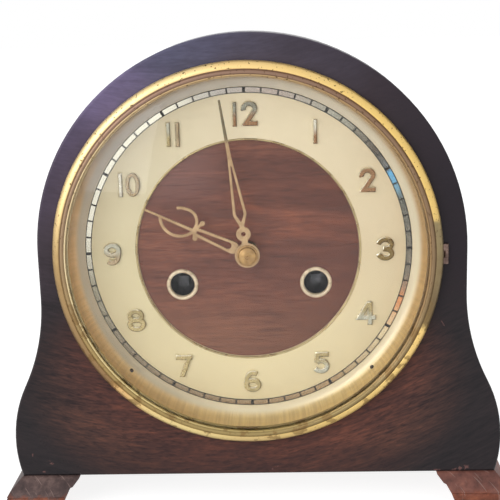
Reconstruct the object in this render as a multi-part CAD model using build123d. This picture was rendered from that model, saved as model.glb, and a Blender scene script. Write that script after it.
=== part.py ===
"""Tambour mantel clock with an arched case, a round glazed bezel and an eight-day striking movement.

The clock stands on the XY plane and faces -Y, with X to its right as seen from the front and Z up.
Depth is measured from the face of the front panel, positive towards the back.  Pieces of the case are
drawn about the middle of the case, and pieces of the dial and movement about the dial centre.
"""
from build123d import *
from math import acos, atan2, cos, degrees, hypot, pi, radians, sin, sqrt, tan
import os

# Rings of the face, from the bezel inwards
bezel_radius = 83.3
bezel_width = 6.1
rim_margin = 0.3  # the dial's upright wall stands this far outside the bezel's lip
rim_width = 6.1
chapter_width = 23.0
bezel_lip_radius = bezel_radius - bezel_width
dial_wall_radius = bezel_lip_radius + rim_margin
dial_flat_radius = dial_wall_radius - rim_width
centre_radius = dial_flat_radius - chapter_width

# Case outline
foot_height = 14.5
panel_above = 8.8  # board round the bezel
panel_below = 16.6  # board under the bezel
flare_spread = 15.8  # each side swells this far beyond the arch
flare_rise = 16.4  # widest point of the case above the bottom edge of the panel
dial_offset = -1.7  # the dial sits a little left of the middle of the case
arch_rise = 2.4  # centre of the arch above the dial centre
waist_drop = 17.1  # the straight sides end this far below the dial centre
flare_radius = 58.0
arch_radius = bezel_radius + panel_above
dial_drop = bezel_radius + panel_below
flare_half_width = arch_radius + flare_spread
flare_drop = dial_drop - flare_rise
panel_thickness = 12.0
panel_round = 1.2  # rounded front edge of the panel
panel_overhang = 4.5  # front panel stands proud of the shell all round
shell_wall = 6.0
shell_depth = 88.0
base_thickness = 8.0
back_thickness = 5.0
panel_clearance = 0.15  # let-in boards against the shell

# Feet
foot_width = 26.0
foot_overhang = 0.3  # top of the foot outside the bottom corner of the panel
foot_splay = 6.0  # the moulding runs outwards and forwards by this much
foot_forward = 7.0
foot_slope_height = 7.0
foot_inner_slant = 9.0  # the inner end leans outwards by this much over the whole height
foot_front_gap = 0.5  # top edge of the moulding in front of the panel
panel_corner_x = flare_half_width - flare_radius + sqrt(flare_radius ** 2 - flare_rise ** 2)
foot_inner_top = panel_corner_x + foot_overhang - foot_width

# Back door
door_margin = 32.1  # board beside the door
door_half_width = arch_radius - door_margin
door_bottom = 36.0
door_thickness = 5.0
door_overlap = 5.0
door_hinge_height = 16.0
door_hinge_spread = 36.0  # between the middles of the two hinges
door_leaf_width = 9.0
door_leaf_thickness = 0.8
door_knuckle_radius = 1.5
door_pin_radius = 0.7
knob_radius = 5.0
knob_length = 8.0
knob_inset = 11.0
knob_neck_share = 0.4  # share of the length up to the end of the neck
knob_brim_share = 0.7

# Dial
dial_depth = 11.5
dial_sheet = 1.0
dial_flange = 4.5
dial_flange_thickness = 0.8
aperture_clearance = 0.4
centre_bevel = 1.0
centre_thickness = 1.5
centre_seat = 3.0  # the disc reaches this far behind the dial plate
centre_hole_radius = 4.2
post_margin = 6.6  # dial posts outside the centre disc
post_ring_radius = centre_radius + post_margin
post_radius = 2.2
post_bearings = (30, 150, 225, 315)
numeral_margin = 11.6  # middles of the numbers outside the centre disc
numeral_ring_radius = centre_radius + numeral_margin
numeral_height = 10.8
numeral_width = 7.6
zero_width = 6.8
four_width = 9.2
numeral_stroke = 1.9
numeral_relief = 1.2
numeral_gap = 1.7  # between the two figures of 10, 11 and 12
three_neck = 0.06  # shares of the half height, up from the middle of a figure
four_bar = -0.4
five_join = 0.12
six_bend = 0.45
eight_waist = 0.08
three_end = 155.0  # bowls of the 3 open at this bearing
three_tongue = -0.2  # shares of the half width, right from the middle of a figure
four_stem = 0.45
six_side = -0.5
six_tip = 0.4
seven_foot = -0.35
eight_top = 0.9

# Winding holes
winding_share = 0.353  # winding squares beside the middle, as a share of the bezel's radius
winding_x = winding_share * bezel_radius
winding_drop = 15.0
ferrule_radius = 7.0
ferrule_bore = 5.3
ferrule_tube = 0.7
ferrule_flange = 0.8
winding_square = 4.4
winding_recess = 5.0  # end of the square behind the centre disc

# Bezel
bezel_height = 5.0
bezel_edge = 0.9
bezel_band = 3.3  # width of the plain outer band
bezel_bead = 0.7  # the inner bead rises this far above the band
bezel_gap = 0.2  # behind the closed bezel
glass_thickness = 1.8
glass_rise = 10.5
glass_edge = 2.0  # how far the glass reaches under the lip
glass_clearance = 0.1
lip_thickness = 0.9
retainer_width = 2.7
hinge_gap = 0.4  # between the bezel edge and the knuckle
bezel_knuckle_radius = 0.9
bezel_pin_radius = 0.45
bezel_hinge_height = 8.5
bezel_knuckle_share = 0.34  # share of the hinge height that the fixed knuckle takes
bezel_leaf = 0.5

# Hands
hand_thickness = 0.8
hour_hand_lift = 5.5  # dial face to the back of the hour hand
hand_spacing = 2.0
hour_hub_radius = 4.9
hour_angle = 295.0  # clockwise from twelve
hour_cross = 25.5  # hub to the cross under the two lobes
hour_bar = 1.2  # width of the pierced lines
hour_stem = ((7.0, 2.7), (24.0, 1.85))  # distance and half width at each end
hour_slot = ((9.2, 1.5), (23.3, 0.65))
hour_spine = ((25.5, 0.65), (47.8, 0.4))
hour_balls = ((-2.8, -2.0), (4.4, -2.4))  # beside and above the cross
hour_ball_radius = 1.1
hour_closed_lobe = ((-0.4, 0), (-5.0, 5.5), (0, 15.5))
hour_open_lobe = ((0.4, 0), (6.6, 2.0), (7.4, 6.6))
hour_lobe_end = ((7.4, 6.6), (7.1, 8.6), (6.2, 10.3))
minute_hub_radius = 5.4
minute_angle = 351.4
minute_neck = ((0, 1.6), (13.5, 1.0))  # distance and half width at each end
minute_eye = 9.5
minute_eye_radius = 3.1
minute_eye_bore = 1.0
minute_loop_tail = ((18.5, 2.9), (13.0, 0.9))
minute_loop = ((18.5, 2.9), (43.0, 0.8))
minute_slot_tail = ((18.5, 1.7), (15.3, 0.3))
minute_slot = ((18.9, 1.7), (39.0, 0.25))
minute_tip_gap = 4.35  # tip short of the edge of the flat dial
minute_pointer = ((43.0, 0.8), (dial_flat_radius - minute_tip_gap, 0.45))
nut_radius = 3.9
nut_height = 3.4
nut_dimple = 0.45
nut_wall_share = 0.55  # share of the height with a straight wall

# Motion work
motion_space = 12.0
cannon_teeth = 12
minute_wheel_teeth = 36
minute_pinion_teeth = 10
hour_wheel_teeth = 40
motion_module = 0.8
motion_hub_radius = 5.2
arbor_nose_radius = 1.1
cannon_radius = 2.2
hour_tube_radius = 3.2
stud_radius = 1.2
motion_end_gap = 1.8  # cannon pinion and minute wheel in front of the movement plate

# Plates
plate_thickness = 1.5
plate_gap = 32.5
plate_edge = 3.3  # below the barrels
plate_crown = 8.0  # above the anchor arbor
plate_corner = 7.0
pillar_radius = 3.0
pillar_inset = 5.5
pillar_head = 1.6

# Barrels and winding
great_teeth = 48
great_module = 1.0
great_thickness = 2.8
barrel_radius = 21.5
barrel_wall = 1.2
barrel_front_space = 2.7
barrel_back_space = 8.2
winding_arbor_radius = 3.0
arbor_core_radius = 5.0
core_end_gap = 1.5
ratchet_teeth = 16
ratchet_radius = 9.0
ratchet_depth = 1.4
ratchet_lean = 0.12
ratchet_thickness = 2.0
ratchet_plate_gap = 0.6
click_reach = 14.0
click_bearing = 80.0  # bearing of the click's stud from the winding arbor, in degrees
click_tip_bearing = 40.0
click_boss_radius = 2.2
click_tip_radius = 0.6
click_lift = 0.35  # the click's tip is held clear of the ratchet teeth
spring_strip = 0.6
spring_pitch = 1.7
spring_turns = 8
spring_end_gap = 0.4

# Wheel trains
pinion_teeth = 8
intermediate_teeth = 40
intermediate_module = 0.8
centre_teeth = 48
centre_module = 0.65
third_teeth = 42
third_module = 0.6
fourth_teeth = 40
fourth_module = 0.5
pin_teeth = 40
pin_module = 0.7
warning_teeth = 40
warning_module = 0.5
third_x = -5.0
fourth_x = 6.0
strike_second_x = -33.0
pin_wheel_x = -24.0
warning_x = -38.0
fly_x = -34.0
wheel_thickness = 1.2
pinion_overhang = 0.6
front_layer = 0.7  # intermediate and strike second wheels behind the front plate
fourth_layer = 10.5
third_layer = 18.5
escape_layer = 22.5
warning_layer = 14.5
back_layer = 6.0  # centre and pin wheels in front of the back plate
arbor_radius = 1.2
pivot_radius = 0.7
end_shake = 0.25
wheel_hub_radius = 2.6
wheel_rim = 1.6
wheel_spoke = 1.8
wheel_spokes = 4
spoke_start = 45.0
escape_teeth = 36
escape_radius = 8.5
escape_depth = 1.6
escape_lean = 0.25  # root after each tip, as a share of the tooth pitch
fly_radius = 6.5
fly_length = 11.0
fly_sheet = 0.5
fly_front_gap = 1.2
strike_pins = 8
strike_pin_radius = 0.6
strike_pin_length = 2.8

# Tooth form
pressure_angle = radians(25)
addendum = 0.7
dedendum = 0.95
backlash_share = 0.12

# Escapement and pendulum
anchor_distance = 11.6
pallet_clearance = 1.1  # pallets stay outside the escape wheel over the whole swing
pallet_width = 2.2
pallet_half_span = 55.0  # degrees each side of straight up
anchor_hub_radius = 2.6
crutch_gap = 1.7
crutch_thickness = 1.2
crutch_width = 2.4
crutch_length = 27.0
fork_pin_radius = 0.6
fork_reach = 6.0
pendulum_gap = 6.5  # pendulum rod behind the back plate
rod_radius = 1.1
bob_drop = 104.0
bob_radius = 14.0
bob_thickness = 8.0
bob_edge = 2.0
rating_nut_radius = 3.2
rating_nut_height = 3.0
rod_tail = 2.5
block_width = 6.0
block_height = 4.0
block_thickness = 2.4
block_drop = 8.0
suspension_width = 5.0
suspension_sheet = 0.4
suspension_rise = 6.0
cock_width = 12.0
cock_height = 4.0
cock_end = 3.0
cock_slot_gap = 0.6

# Hammers and gong
hammer_x = -12.0
hammer_drop = 38.0
hammer_reach = 12.0  # hammer heads along the rods from the gong block
hammer_arm_width = 2.4
hammer_arm_gap = 0.8
hammer_arm_thickness = 1.4
hammer_head_radius = 3.0
hammer_head_height = 7.0
hammer_tail_gap = 1.2
hammer_tail_layer = 2.4  # tail in front of the back plate
gong_rod_radius = 1.1
gong_rod_height = 10.0  # rods above the base board
gong_rod_spacing = 9.0
gong_rod_length = 132.0
gong_rest_gap = 1.0  # hammer heads rest just off the rods
gong_block_width = 16.0
gong_block_margin = 8.0
gong_wall_gap = 3.7  # block beside the case shell
gong_block_top = 5.0

# Fits
running_clearance = 0.05
seat_clearance = 0.02

# Heights and depths that follow from the values above
dial_z = foot_height + dial_drop
shell_back = panel_thickness + shell_depth
disc_front = dial_depth + dial_sheet
disc_back = disc_front + centre_thickness
plate_front = disc_back + motion_space
train_front = plate_front + plate_thickness
train_back = train_front + plate_gap
movement_back = train_back + plate_thickness
door_back = shell_back + door_thickness
bezel_back = -dial_flange_thickness - bezel_gap
bezel_crest = bezel_back - bezel_height
lip_back = bezel_crest + lip_thickness + bezel_bead
glass_apex = lip_back + glass_clearance - glass_rise
hour_hand_back = dial_depth - hour_hand_lift
minute_hand_back = hour_hand_back - hand_thickness - hand_spacing
nut_back = minute_hand_back - hand_thickness
nut_front = nut_back - nut_height
barrel_front = train_front + barrel_front_space
barrel_back = train_back - barrel_back_space
pendulum_y = movement_back + pendulum_gap
depth_shift = -(glass_apex + door_back + knob_length) / 2


def front_plane(depth):
    """Drawing plane facing the viewer, with its x to the right and its y up."""
    return Plane(origin=(0, depth, 0), x_dir=(1, 0, 0), z_dir=(0, -1, 0))


def slab(sketch, front, back):
    """Solid between two depths, from an outline seen from the front."""
    return extrude(front_plane(back) * sketch, back - front)


def rod(x, z, radius, front, back):
    """Round bar along the depth."""
    return slab(Pos(x, z) * Circle(radius), front, back)


def turned(*edges):
    """Body of revolution about the dial axis, from a half section of radius against depth."""
    return revolve(make_face(edges), Axis.Y)


def tapered(start, start_radius, end, end_radius):
    """Round-ended bar that tapers from one circle to another."""
    near = Pos(*start) * Circle(start_radius)
    far = Pos(*end) * Circle(end_radius)
    return make_hull(near.edges() + far.edges())


def polar(radius, bearing):
    """Point at a bearing in degrees, anticlockwise from the right."""
    return radius * cos(radians(bearing)), radius * sin(radians(bearing))


def case_place(shape):
    """Put a piece drawn about the middle of the case in its place."""
    return Pos(0, depth_shift, 0) * shape


def dial_place(shape):
    """Put a piece drawn about the dial centre in its place."""
    return Pos(dial_offset, depth_shift, dial_z) * shape


# Case


def case_outline(inset):
    """Front outline of the case: arched top, straight waist, hollow curve and swelling curve to the foot."""
    half = arch_radius - inset
    arch_z = dial_z + arch_rise
    waist_z = dial_z - waist_drop
    flare_z = dial_z - flare_drop
    span = flare_half_width - arch_radius
    fall = flare_drop - waist_drop
    radius_sum = (span ** 2 + fall ** 2) / (2 * span)
    turn = degrees(atan2(fall, radius_sum - span))
    hollow = radius_sum - flare_radius + inset
    swell = flare_radius - inset
    swell_x = flare_half_width - flare_radius
    foot_x = swell_x + sqrt(swell ** 2 - (flare_z - foot_height) ** 2)
    join_x, join_rise = polar(swell, turn)
    hollow_x, hollow_rise = polar(hollow, 180 + turn / 2)
    sides = []
    for side in (1, -1):
        foot = (side * foot_x, foot_height)
        widest = (side * (swell_x + swell), flare_z)
        join = (side * (swell_x + join_x), flare_z + join_rise)
        bend = (side * (half + hollow + hollow_x), waist_z + hollow_rise)
        waist = (side * half, waist_z)
        sides += [ThreePointArc(foot, widest, join), ThreePointArc(join, bend, waist)]
        sides += [Line(waist, (side * half, arch_z))]
    arch = ThreePointArc((half, arch_z), (0, arch_z + half), (-half, arch_z))
    floor = Line((-foot_x, foot_height), (foot_x, foot_height))
    return make_face(sides + [arch, floor])


def front_panel():
    aperture = Pos(dial_offset, dial_z) * Circle(dial_wall_radius + dial_sheet + aperture_clearance)
    board = slab(case_outline(0), 0, panel_thickness)
    front_edges = board.faces().sort_by(Axis.Y)[0].outer_wire().edges()
    board = fillet(front_edges, panel_round)
    return board - slab(aperture, 0, panel_thickness)


def case_shell():
    ring = case_outline(panel_overhang) - case_outline(panel_overhang + shell_wall)
    open_floor = Pos(0, foot_height) * Rectangle(2 * shell_inner_foot(), 2 * shell_wall)
    return slab(ring - open_floor, panel_thickness, shell_back)


def shell_inner_foot():
    """Half width inside the shell at the bottom edge."""
    swell = flare_radius - panel_overhang - shell_wall
    return flare_half_width - flare_radius + sqrt(swell ** 2 - flare_rise ** 2)


def base_board():
    inside = case_outline(panel_overhang + shell_wall + panel_clearance)
    layer = Pos(0, foot_height + base_thickness / 2) * Rectangle(4 * flare_half_width, base_thickness)
    return slab(inside & layer, panel_thickness, shell_back)


def door_outline(inset):
    """Round-topped doorway about the dial centre's height."""
    half = door_half_width - inset
    foot_z = door_bottom + inset
    arch = ThreePointArc((half, dial_z), (0, dial_z + half), (-half, dial_z))
    box = Polyline((-half, dial_z), (-half, foot_z), (half, foot_z), (half, dial_z))
    return make_face(box.edges() + [arch])


def back_panel():
    board = case_outline(panel_overhang + shell_wall + panel_clearance)
    above_base = Pos(0, foot_height + base_thickness / 2) * Rectangle(4 * flare_half_width, base_thickness)
    return slab(board - above_base - door_outline(door_overlap), shell_back - back_thickness, shell_back)


def foot(side):
    """Moulded foot along one side: sloped outer and front faces over a plain block, inner end leaning out."""
    inner_break = foot_inner_slant * foot_slope_height / foot_height
    front_top = -foot_front_gap
    front_low = front_top - foot_forward
    sections = []
    for drop, inner, splay, front in (
        (0, 0, 0, front_top),
        (foot_slope_height, inner_break, foot_splay, front_low),
        (foot_height, foot_inner_slant, foot_splay, front_low),
    ):
        inside = foot_inner_top + inner
        outside = foot_inner_top + foot_width + splay
        centre = (side * (inside + outside) / 2, (front + shell_back) / 2, foot_height - drop)
        sections.append(Pos(*centre) * Rectangle(outside - inside, shell_back - front))
    return loft(sections[:2], ruled=True) + loft(sections[1:], ruled=True)


# Back door


hinge_x = door_half_width + door_knuckle_radius + running_clearance
hinge_y = door_back + door_leaf_thickness + running_clearance
door_hinge_heights = [
    (door_bottom + dial_z) / 2 + offset for offset in (-door_hinge_spread / 2, door_hinge_spread / 2)
]


def back_door():
    return slab(door_outline(0), shell_back, door_back)


def hinge_column(outline, heights, length):
    """Plan outline raised to the same length about several heights."""
    return Part() + [extrude(Pos(0, 0, z - length / 2) * outline, length) for z in heights]


def knuckle_bore():
    return Pos(hinge_x, hinge_y) * Circle(door_pin_radius + running_clearance)


def door_hinge_leaves():
    """Fixed leaves: cranked from the back panel up beside the door's edge to the middle knuckle."""
    knuckle = Pos(hinge_x, hinge_y) * Circle(door_knuckle_radius)
    stem_width = door_knuckle_radius
    stem_x = hinge_x + door_knuckle_radius - stem_width / 2
    stem = Pos(stem_x, (shell_back + hinge_y) / 2) * Rectangle(stem_width, hinge_y - shell_back)
    leaf_y = shell_back + door_leaf_thickness / 2
    leaf = Pos(hinge_x + door_leaf_width / 2, leaf_y) * Rectangle(door_leaf_width, door_leaf_thickness)
    middle = door_hinge_height / 2 - 2 * running_clearance
    full = hinge_column(leaf, door_hinge_heights, door_hinge_height)
    return full + hinge_column(knuckle + stem - knuckle_bore(), door_hinge_heights, middle)


def door_hinge_flaps():
    """Moving leaves on the door's outer face, with the two end knuckles of each hinge."""
    knuckle = Pos(hinge_x, hinge_y) * Circle(door_knuckle_radius)
    reach = door_knuckle_radius + door_leaf_width
    strap = Pos(hinge_x - reach / 2, door_back + door_leaf_thickness / 2)
    leaf = strap * Rectangle(reach, door_leaf_thickness)
    end = door_hinge_height / 4
    ends = [z + s * (door_hinge_height - end) / 2 for z in door_hinge_heights for s in (-1, 1)]
    inner = hinge_x - door_knuckle_radius - running_clearance
    plate = Pos((inner + hinge_x - reach) / 2, door_back + door_leaf_thickness / 2)
    plate = plate * Rectangle(inner - hinge_x + reach, door_leaf_thickness)
    full = hinge_column(plate, door_hinge_heights, door_hinge_height)
    return full + hinge_column(knuckle + leaf - knuckle_bore(), ends, end)


def door_hinge_pins():
    outline = Pos(hinge_x, hinge_y) * Circle(door_pin_radius)
    return hinge_column(outline, door_hinge_heights, door_hinge_height)


def cap_rise(radius, rise):
    """Height of a spherical cap at half its base radius."""
    sphere = (radius ** 2 + rise ** 2) / (2 * rise)
    return rise - sphere + sqrt(sphere ** 2 - radius ** 2 / 4)


def door_knob():
    """Turned knob: plain neck under a mushroom head."""
    neck = knob_radius / 2
    neck_end = door_back + knob_neck_share * knob_length
    brim = door_back + knob_brim_share * knob_length
    top = door_back + knob_length
    swell = brim + cap_rise(knob_radius, top - brim)
    crown = ThreePointArc((knob_radius, brim), (knob_radius / 2, swell), (0, top))
    rest = Polyline((0, top), (0, door_back), (neck, door_back), (neck, neck_end), (knob_radius, brim))
    return Pos(knob_inset - door_half_width, 0, dial_z) * turned(crown, *rest.edges())


# Dial


def dial_plate():
    """Pressed sheet: flat chapter, hollow rim curving forward to a flange on the face of the panel."""
    hollow = dial_wall_radius - dial_flat_radius
    centre_y = dial_depth - hollow
    diagonal = sqrt(0.5)
    outer = hollow + dial_sheet
    flange_radius = dial_wall_radius + dial_flange
    front_bend = (dial_flat_radius + hollow * diagonal, centre_y + hollow * diagonal)
    back_bend = (dial_flat_radius + outer * diagonal, centre_y + outer * diagonal)
    front_curve = ThreePointArc((dial_flat_radius, dial_depth), front_bend, (dial_wall_radius, centre_y))
    wall_back = dial_wall_radius + dial_sheet
    back_curve = ThreePointArc((wall_back, centre_y), back_bend, (dial_flat_radius, disc_front))
    flange = Polyline(
        (dial_wall_radius, centre_y),
        (dial_wall_radius, -dial_flange_thickness),
        (flange_radius, -dial_flange_thickness),
        (flange_radius, 0),
        (wall_back, 0),
        (wall_back, centre_y),
    )
    flat = Polyline(
        (dial_flat_radius, disc_front),
        (centre_radius, disc_front),
        (centre_radius + centre_bevel, dial_depth),
        (dial_flat_radius, dial_depth),
    )
    return turned(front_curve, back_curve, *flange.edges(), *flat.edges())


def winding_points():
    """Winding squares, going side on the right and strike side on the left."""
    return [(winding_x, -winding_drop), (-winding_x, -winding_drop)]


def dial_centre():
    disc = Circle(centre_radius + centre_seat) - Circle(centre_hole_radius)
    for x, z in winding_points():
        disc -= Pos(x, z) * Circle(ferrule_bore + ferrule_tube + seat_clearance)
    return slab(disc, disc_front, disc_back)


def winding_ferrules():
    rings = Part()
    for x, z in winding_points():
        bore = Pos(x, z) * Circle(ferrule_bore)
        tube = Pos(x, z) * Circle(ferrule_bore + ferrule_tube)
        flange = Pos(x, z) * Circle(ferrule_radius)
        rings += slab(tube - bore, disc_front, disc_back)
        rings += slab(flange - bore, disc_front - ferrule_flange, disc_front)
    return rings


def dial_posts():
    posts = Part()
    for bearing in post_bearings:
        posts += rod(*polar(post_ring_radius, bearing), post_radius, disc_front, plate_front)
    return posts


def figure(digit):
    """Centre lines of one plain upright figure, about its own middle."""
    half_w = (figure_width(digit) - numeral_stroke) / 2
    half_h = (numeral_height - numeral_stroke) / 2
    top, foot_z = half_h, -half_h
    bowl = half_w
    if digit == "1":
        return [Line((0, foot_z), (0, top))]
    if digit == "2":
        crown = ThreePointArc((-half_w, top - bowl), (0, top), (half_w, top - bowl))
        slant = Line((half_w, top - bowl), (-half_w, foot_z))
        return [crown, slant, Line((-half_w, foot_z), (half_w, foot_z))]
    if digit == "3":
        neck = three_neck * half_h
        bowls = [Line((0, neck), (three_tongue * half_w, neck))]
        for turn, edge in ((1, top), (-1, foot_z)):
            radius = abs(edge - neck) / 2
            middle = (edge + neck) / 2
            bearings = (three_end, (three_end - 90) / 2, -90)
            points = [polar(radius, turn * bearing) for bearing in bearings]
            bowls.append(ThreePointArc(*[(x, middle + rise) for x, rise in points]))
        return bowls
    if digit == "4":
        bar = four_bar * half_h
        stem = four_stem * half_w
        return [
            Line((stem, foot_z), (stem, top)),
            Line((stem, top), (-half_w, bar)),
            Line((-half_w, bar), (half_w, bar)),
        ]
    if digit == "5":
        join = five_join * half_h
        lower = (join - foot_z) / 2
        return [
            Line((half_w, top), (-half_w, top)),
            Line((-half_w, top), (-half_w, join)),
            Line((-half_w, join), (half_w - lower, join)),
            ThreePointArc((half_w - lower, join), (half_w, join - lower), (half_w - lower, foot_z)),
            Line((half_w - lower, foot_z), (-half_w, foot_z)),
        ]
    if digit in "69":
        turn = 1 if digit == "6" else -1
        centre_z = -turn * (half_h - bowl)
        eye = [
            ThreePointArc((-bowl, centre_z), (0, centre_z + s * bowl), (bowl, centre_z)) for s in (1, -1)
        ]
        bend = (six_side * turn * bowl, six_bend * turn * half_h)
        tip = (six_tip * turn * bowl, turn * half_h)
        return eye + [ThreePointArc((-turn * bowl, centre_z), bend, tip)]
    if digit == "7":
        return [Line((-half_w, top), (half_w, top)), Line((half_w, top), (seven_foot * half_w, foot_z))]
    if digit == "8":
        waist = eight_waist * half_h
        loops = []
        for low, high, reach in ((waist, top, eight_top * half_w), (foot_z, waist, half_w)):
            middle = (low + high) / 2
            for s in (1, -1):
                loops.append(ThreePointArc((0, low), (s * reach, middle), (0, high)))
        return loops
    straight = half_h - bowl
    arcs = [ThreePointArc((-half_w, s * straight), (0, s * half_h), (half_w, s * straight)) for s in (1, -1)]
    sides = [Line((s * half_w, -straight), (s * half_w, straight)) for s in (1, -1)]
    return arcs + sides


def figure_width(digit):
    narrow_or_wide = {"0": zero_width, "1": numeral_stroke, "4": four_width}
    return narrow_or_wide.get(digit, numeral_width)


def numerals():
    """Twelve upright applied numbers round the chapter."""
    solids = Part()
    for hour in range(1, 13):
        text = str(hour)
        x, z = polar(numeral_ring_radius, 90 - 30 * hour)
        total = sum(figure_width(d) for d in text) + numeral_gap * (len(text) - 1)
        left = x - total / 2
        for digit in text:
            middle = left + figure_width(digit) / 2
            strokes = Sketch() + [trace(line, numeral_stroke) for line in figure(digit)]
            solids += slab(Pos(middle, z) * strokes, dial_depth - numeral_relief, dial_depth)
            left += figure_width(digit) + numeral_gap
    return solids


# Bezel


bezel_axis_x = bezel_radius + hinge_gap + bezel_knuckle_radius
bezel_axis_y = -bezel_knuckle_radius - bezel_gap
glass_seat = lip_back + glass_clearance


def bezel_ring():
    """Spun ring: plain outer band, raised bead over the lip that holds the glass, open recess behind."""
    band_radius = bezel_radius - bezel_band
    band_top = bezel_crest + bezel_bead
    recess = bezel_lip_radius + glass_edge + glass_clearance
    edge = (bezel_radius, bezel_back - bezel_edge)
    middle = ((bezel_radius + band_radius) / 2 + bezel_bead, (edge[1] + band_top) / 2 - bezel_bead)
    groove = band_top + bezel_bead / 2
    band = ThreePointArc(edge, middle, (band_radius, band_top))
    bead_middle = (band_radius + bezel_lip_radius) / 2
    bead = ThreePointArc((band_radius, groove), (bead_middle, bezel_crest), (bezel_lip_radius, groove))
    rest = Polyline(
        (bezel_lip_radius, groove),
        (bezel_lip_radius, lip_back),
        (recess, lip_back),
        (recess, bezel_back),
        (bezel_radius, bezel_back),
        edge,
    )
    return turned(band, Line((band_radius, band_top), (band_radius, groove)), bead, *rest.edges())


def bezel_glass():
    """Domed glass with a flat edge under the lip."""
    rim = bezel_lip_radius + glass_edge
    back = glass_seat + glass_thickness
    dome = (bezel_lip_radius ** 2 + glass_rise ** 2) / (2 * glass_rise)
    dome_y = glass_apex + dome
    inner = dome - glass_thickness
    inner_rim = sqrt(inner ** 2 - (dome_y - back) ** 2)
    outside = (bezel_lip_radius / 2, dome_y - sqrt(dome ** 2 - bezel_lip_radius ** 2 / 4))
    inside = (inner_rim / 2, dome_y - sqrt(inner ** 2 - inner_rim ** 2 / 4))
    front_curve = ThreePointArc((bezel_lip_radius, glass_seat), outside, (0, glass_apex))
    back_curve = ThreePointArc((0, glass_apex + glass_thickness), inside, (inner_rim, back))
    edge = Polyline((inner_rim, back), (rim, back), (rim, glass_seat), (bezel_lip_radius, glass_seat))
    axis = Line((0, glass_apex), (0, glass_apex + glass_thickness))
    return turned(front_curve, axis, back_curve, *edge.edges())


def glass_retainer():
    """Split spring ring behind the glass."""
    outer = bezel_lip_radius + glass_edge + glass_clearance - seat_clearance
    front = glass_seat + glass_thickness + seat_clearance
    return slab(Circle(outer) - Circle(outer - retainer_width), front, bezel_back)


def bezel_knuckle(low, high):
    outline = Pos(bezel_axis_x, bezel_axis_y) * Circle(bezel_knuckle_radius)
    bore = Pos(bezel_axis_x, bezel_axis_y) * Circle(bezel_pin_radius + running_clearance)
    return extrude(Pos(0, 0, low) * (outline - bore), high - low)


fixed_knuckle_half = bezel_knuckle_share * bezel_hinge_height / 2


def bezel_hinge_leaf():
    """Fixed half: thin leaf on the panel, out from the dial flange to the middle knuckle."""
    start = dial_wall_radius + dial_flange + seat_clearance
    leaf = Pos((start + bezel_axis_x) / 2, -bezel_leaf / 2) * Rectangle(bezel_axis_x - start, bezel_leaf)
    bore = Pos(bezel_axis_x, bezel_axis_y) * Circle(bezel_pin_radius + running_clearance)
    plate = extrude(Pos(0, 0, -fixed_knuckle_half) * (leaf - bore), 2 * fixed_knuckle_half)
    return bezel_knuckle(-fixed_knuckle_half, fixed_knuckle_half) + plate


def bezel_hinge_strap():
    """Moving half: two end knuckles on tabs brazed to the edge of the bezel."""
    top = bezel_hinge_height / 2
    low = fixed_knuckle_half + 2 * running_clearance
    tab_front = bezel_back - bezel_edge
    tab_back = bezel_back - bezel_edge / 3
    ring = Circle(bezel_radius + seat_clearance)
    straps = Part()
    for side in (1, -1):
        ends = sorted((side * low, side * top))
        tab = Pos((bezel_radius + bezel_axis_x) / 2, (ends[0] + ends[1]) / 2)
        tab = tab * Rectangle(bezel_axis_x - bezel_radius + 2 * hinge_gap, top - low) - ring
        bore = Pos(bezel_axis_x, bezel_axis_y) * Circle(bezel_pin_radius + running_clearance)
        plate = slab(tab, tab_front, tab_back) - extrude(Pos(0, 0, ends[0]) * bore, top - low)
        straps += bezel_knuckle(*ends) + plate
    return straps


def bezel_hinge_pin():
    pin = Pos(bezel_axis_x, bezel_axis_y, -bezel_hinge_height / 2) * Circle(bezel_pin_radius)
    return extrude(pin, bezel_hinge_height)


# Hands


def blade(stretch):
    """Tapering stretch of a hand along its own length."""
    (near, near_half), (far, far_half) = stretch
    return tapered((0, near), near_half, (0, far), far_half)


def at_cross(points):
    return [(x, hour_cross + rise) for x, rise in points]


def hour_hand():
    """Pierced hand: slotted stem, cross with two balls, pointer between one closed and one sprung lobe."""
    balls = at_cross(hour_balls)
    lines = [Line((0, hour_cross), ball) for ball in balls]
    for lobe in (hour_closed_lobe, hour_open_lobe, hour_lobe_end):
        lines.append(ThreePointArc(*at_cross(lobe)))
    hand = Circle(hour_hub_radius) + (blade(hour_stem) - blade(hour_slot)) + blade(hour_spine)
    hand += [trace(line, hour_bar) for line in lines]
    hand += [Pos(*ball) * Circle(hour_ball_radius) for ball in balls]
    hand -= Circle(hour_tube_radius + seat_clearance)
    return slab(Rot(0, 0, -hour_angle) * hand, hour_hand_back - hand_thickness, hour_hand_back)


def minute_hand():
    """Pierced hand: hub, eye, long open loop and a plain pointer."""
    outer = blade(minute_loop) + blade(minute_loop_tail)
    inner = blade(minute_slot) + blade(minute_slot_tail)
    eye = Pos(0, minute_eye)
    hand = Circle(minute_hub_radius) + eye * Circle(minute_eye_radius) + blade(minute_neck)
    hand += (outer - inner) + blade(minute_pointer)
    hand -= eye * Circle(minute_eye_bore)
    hand -= Circle(cannon_radius + seat_clearance)
    return slab(Rot(0, 0, -minute_angle) * hand, minute_hand_back - hand_thickness, minute_hand_back)


def hand_nut():
    """Domed nut with a small dimple, over the end of the arbor."""
    bore = arbor_nose_radius + running_clearance
    bore_end = (nut_front + nut_back) / 2
    shoulder = nut_back - nut_wall_share * nut_height
    swell = shoulder - cap_rise(nut_radius, shoulder - nut_front)
    crown = ThreePointArc((nut_radius, shoulder), (nut_radius / 2, swell), (0, nut_front))
    rest = Polyline(
        (0, nut_front),
        (0, bore_end),
        (bore, bore_end),
        (bore, nut_back),
        (nut_radius, nut_back),
        (nut_radius, shoulder),
    )
    return turned(crown, *rest.edges()) - Pos(0, nut_front, 0) * Sphere(nut_dimple)


# Toothed wheels


def involute(angle):
    return tan(angle) - angle


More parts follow.
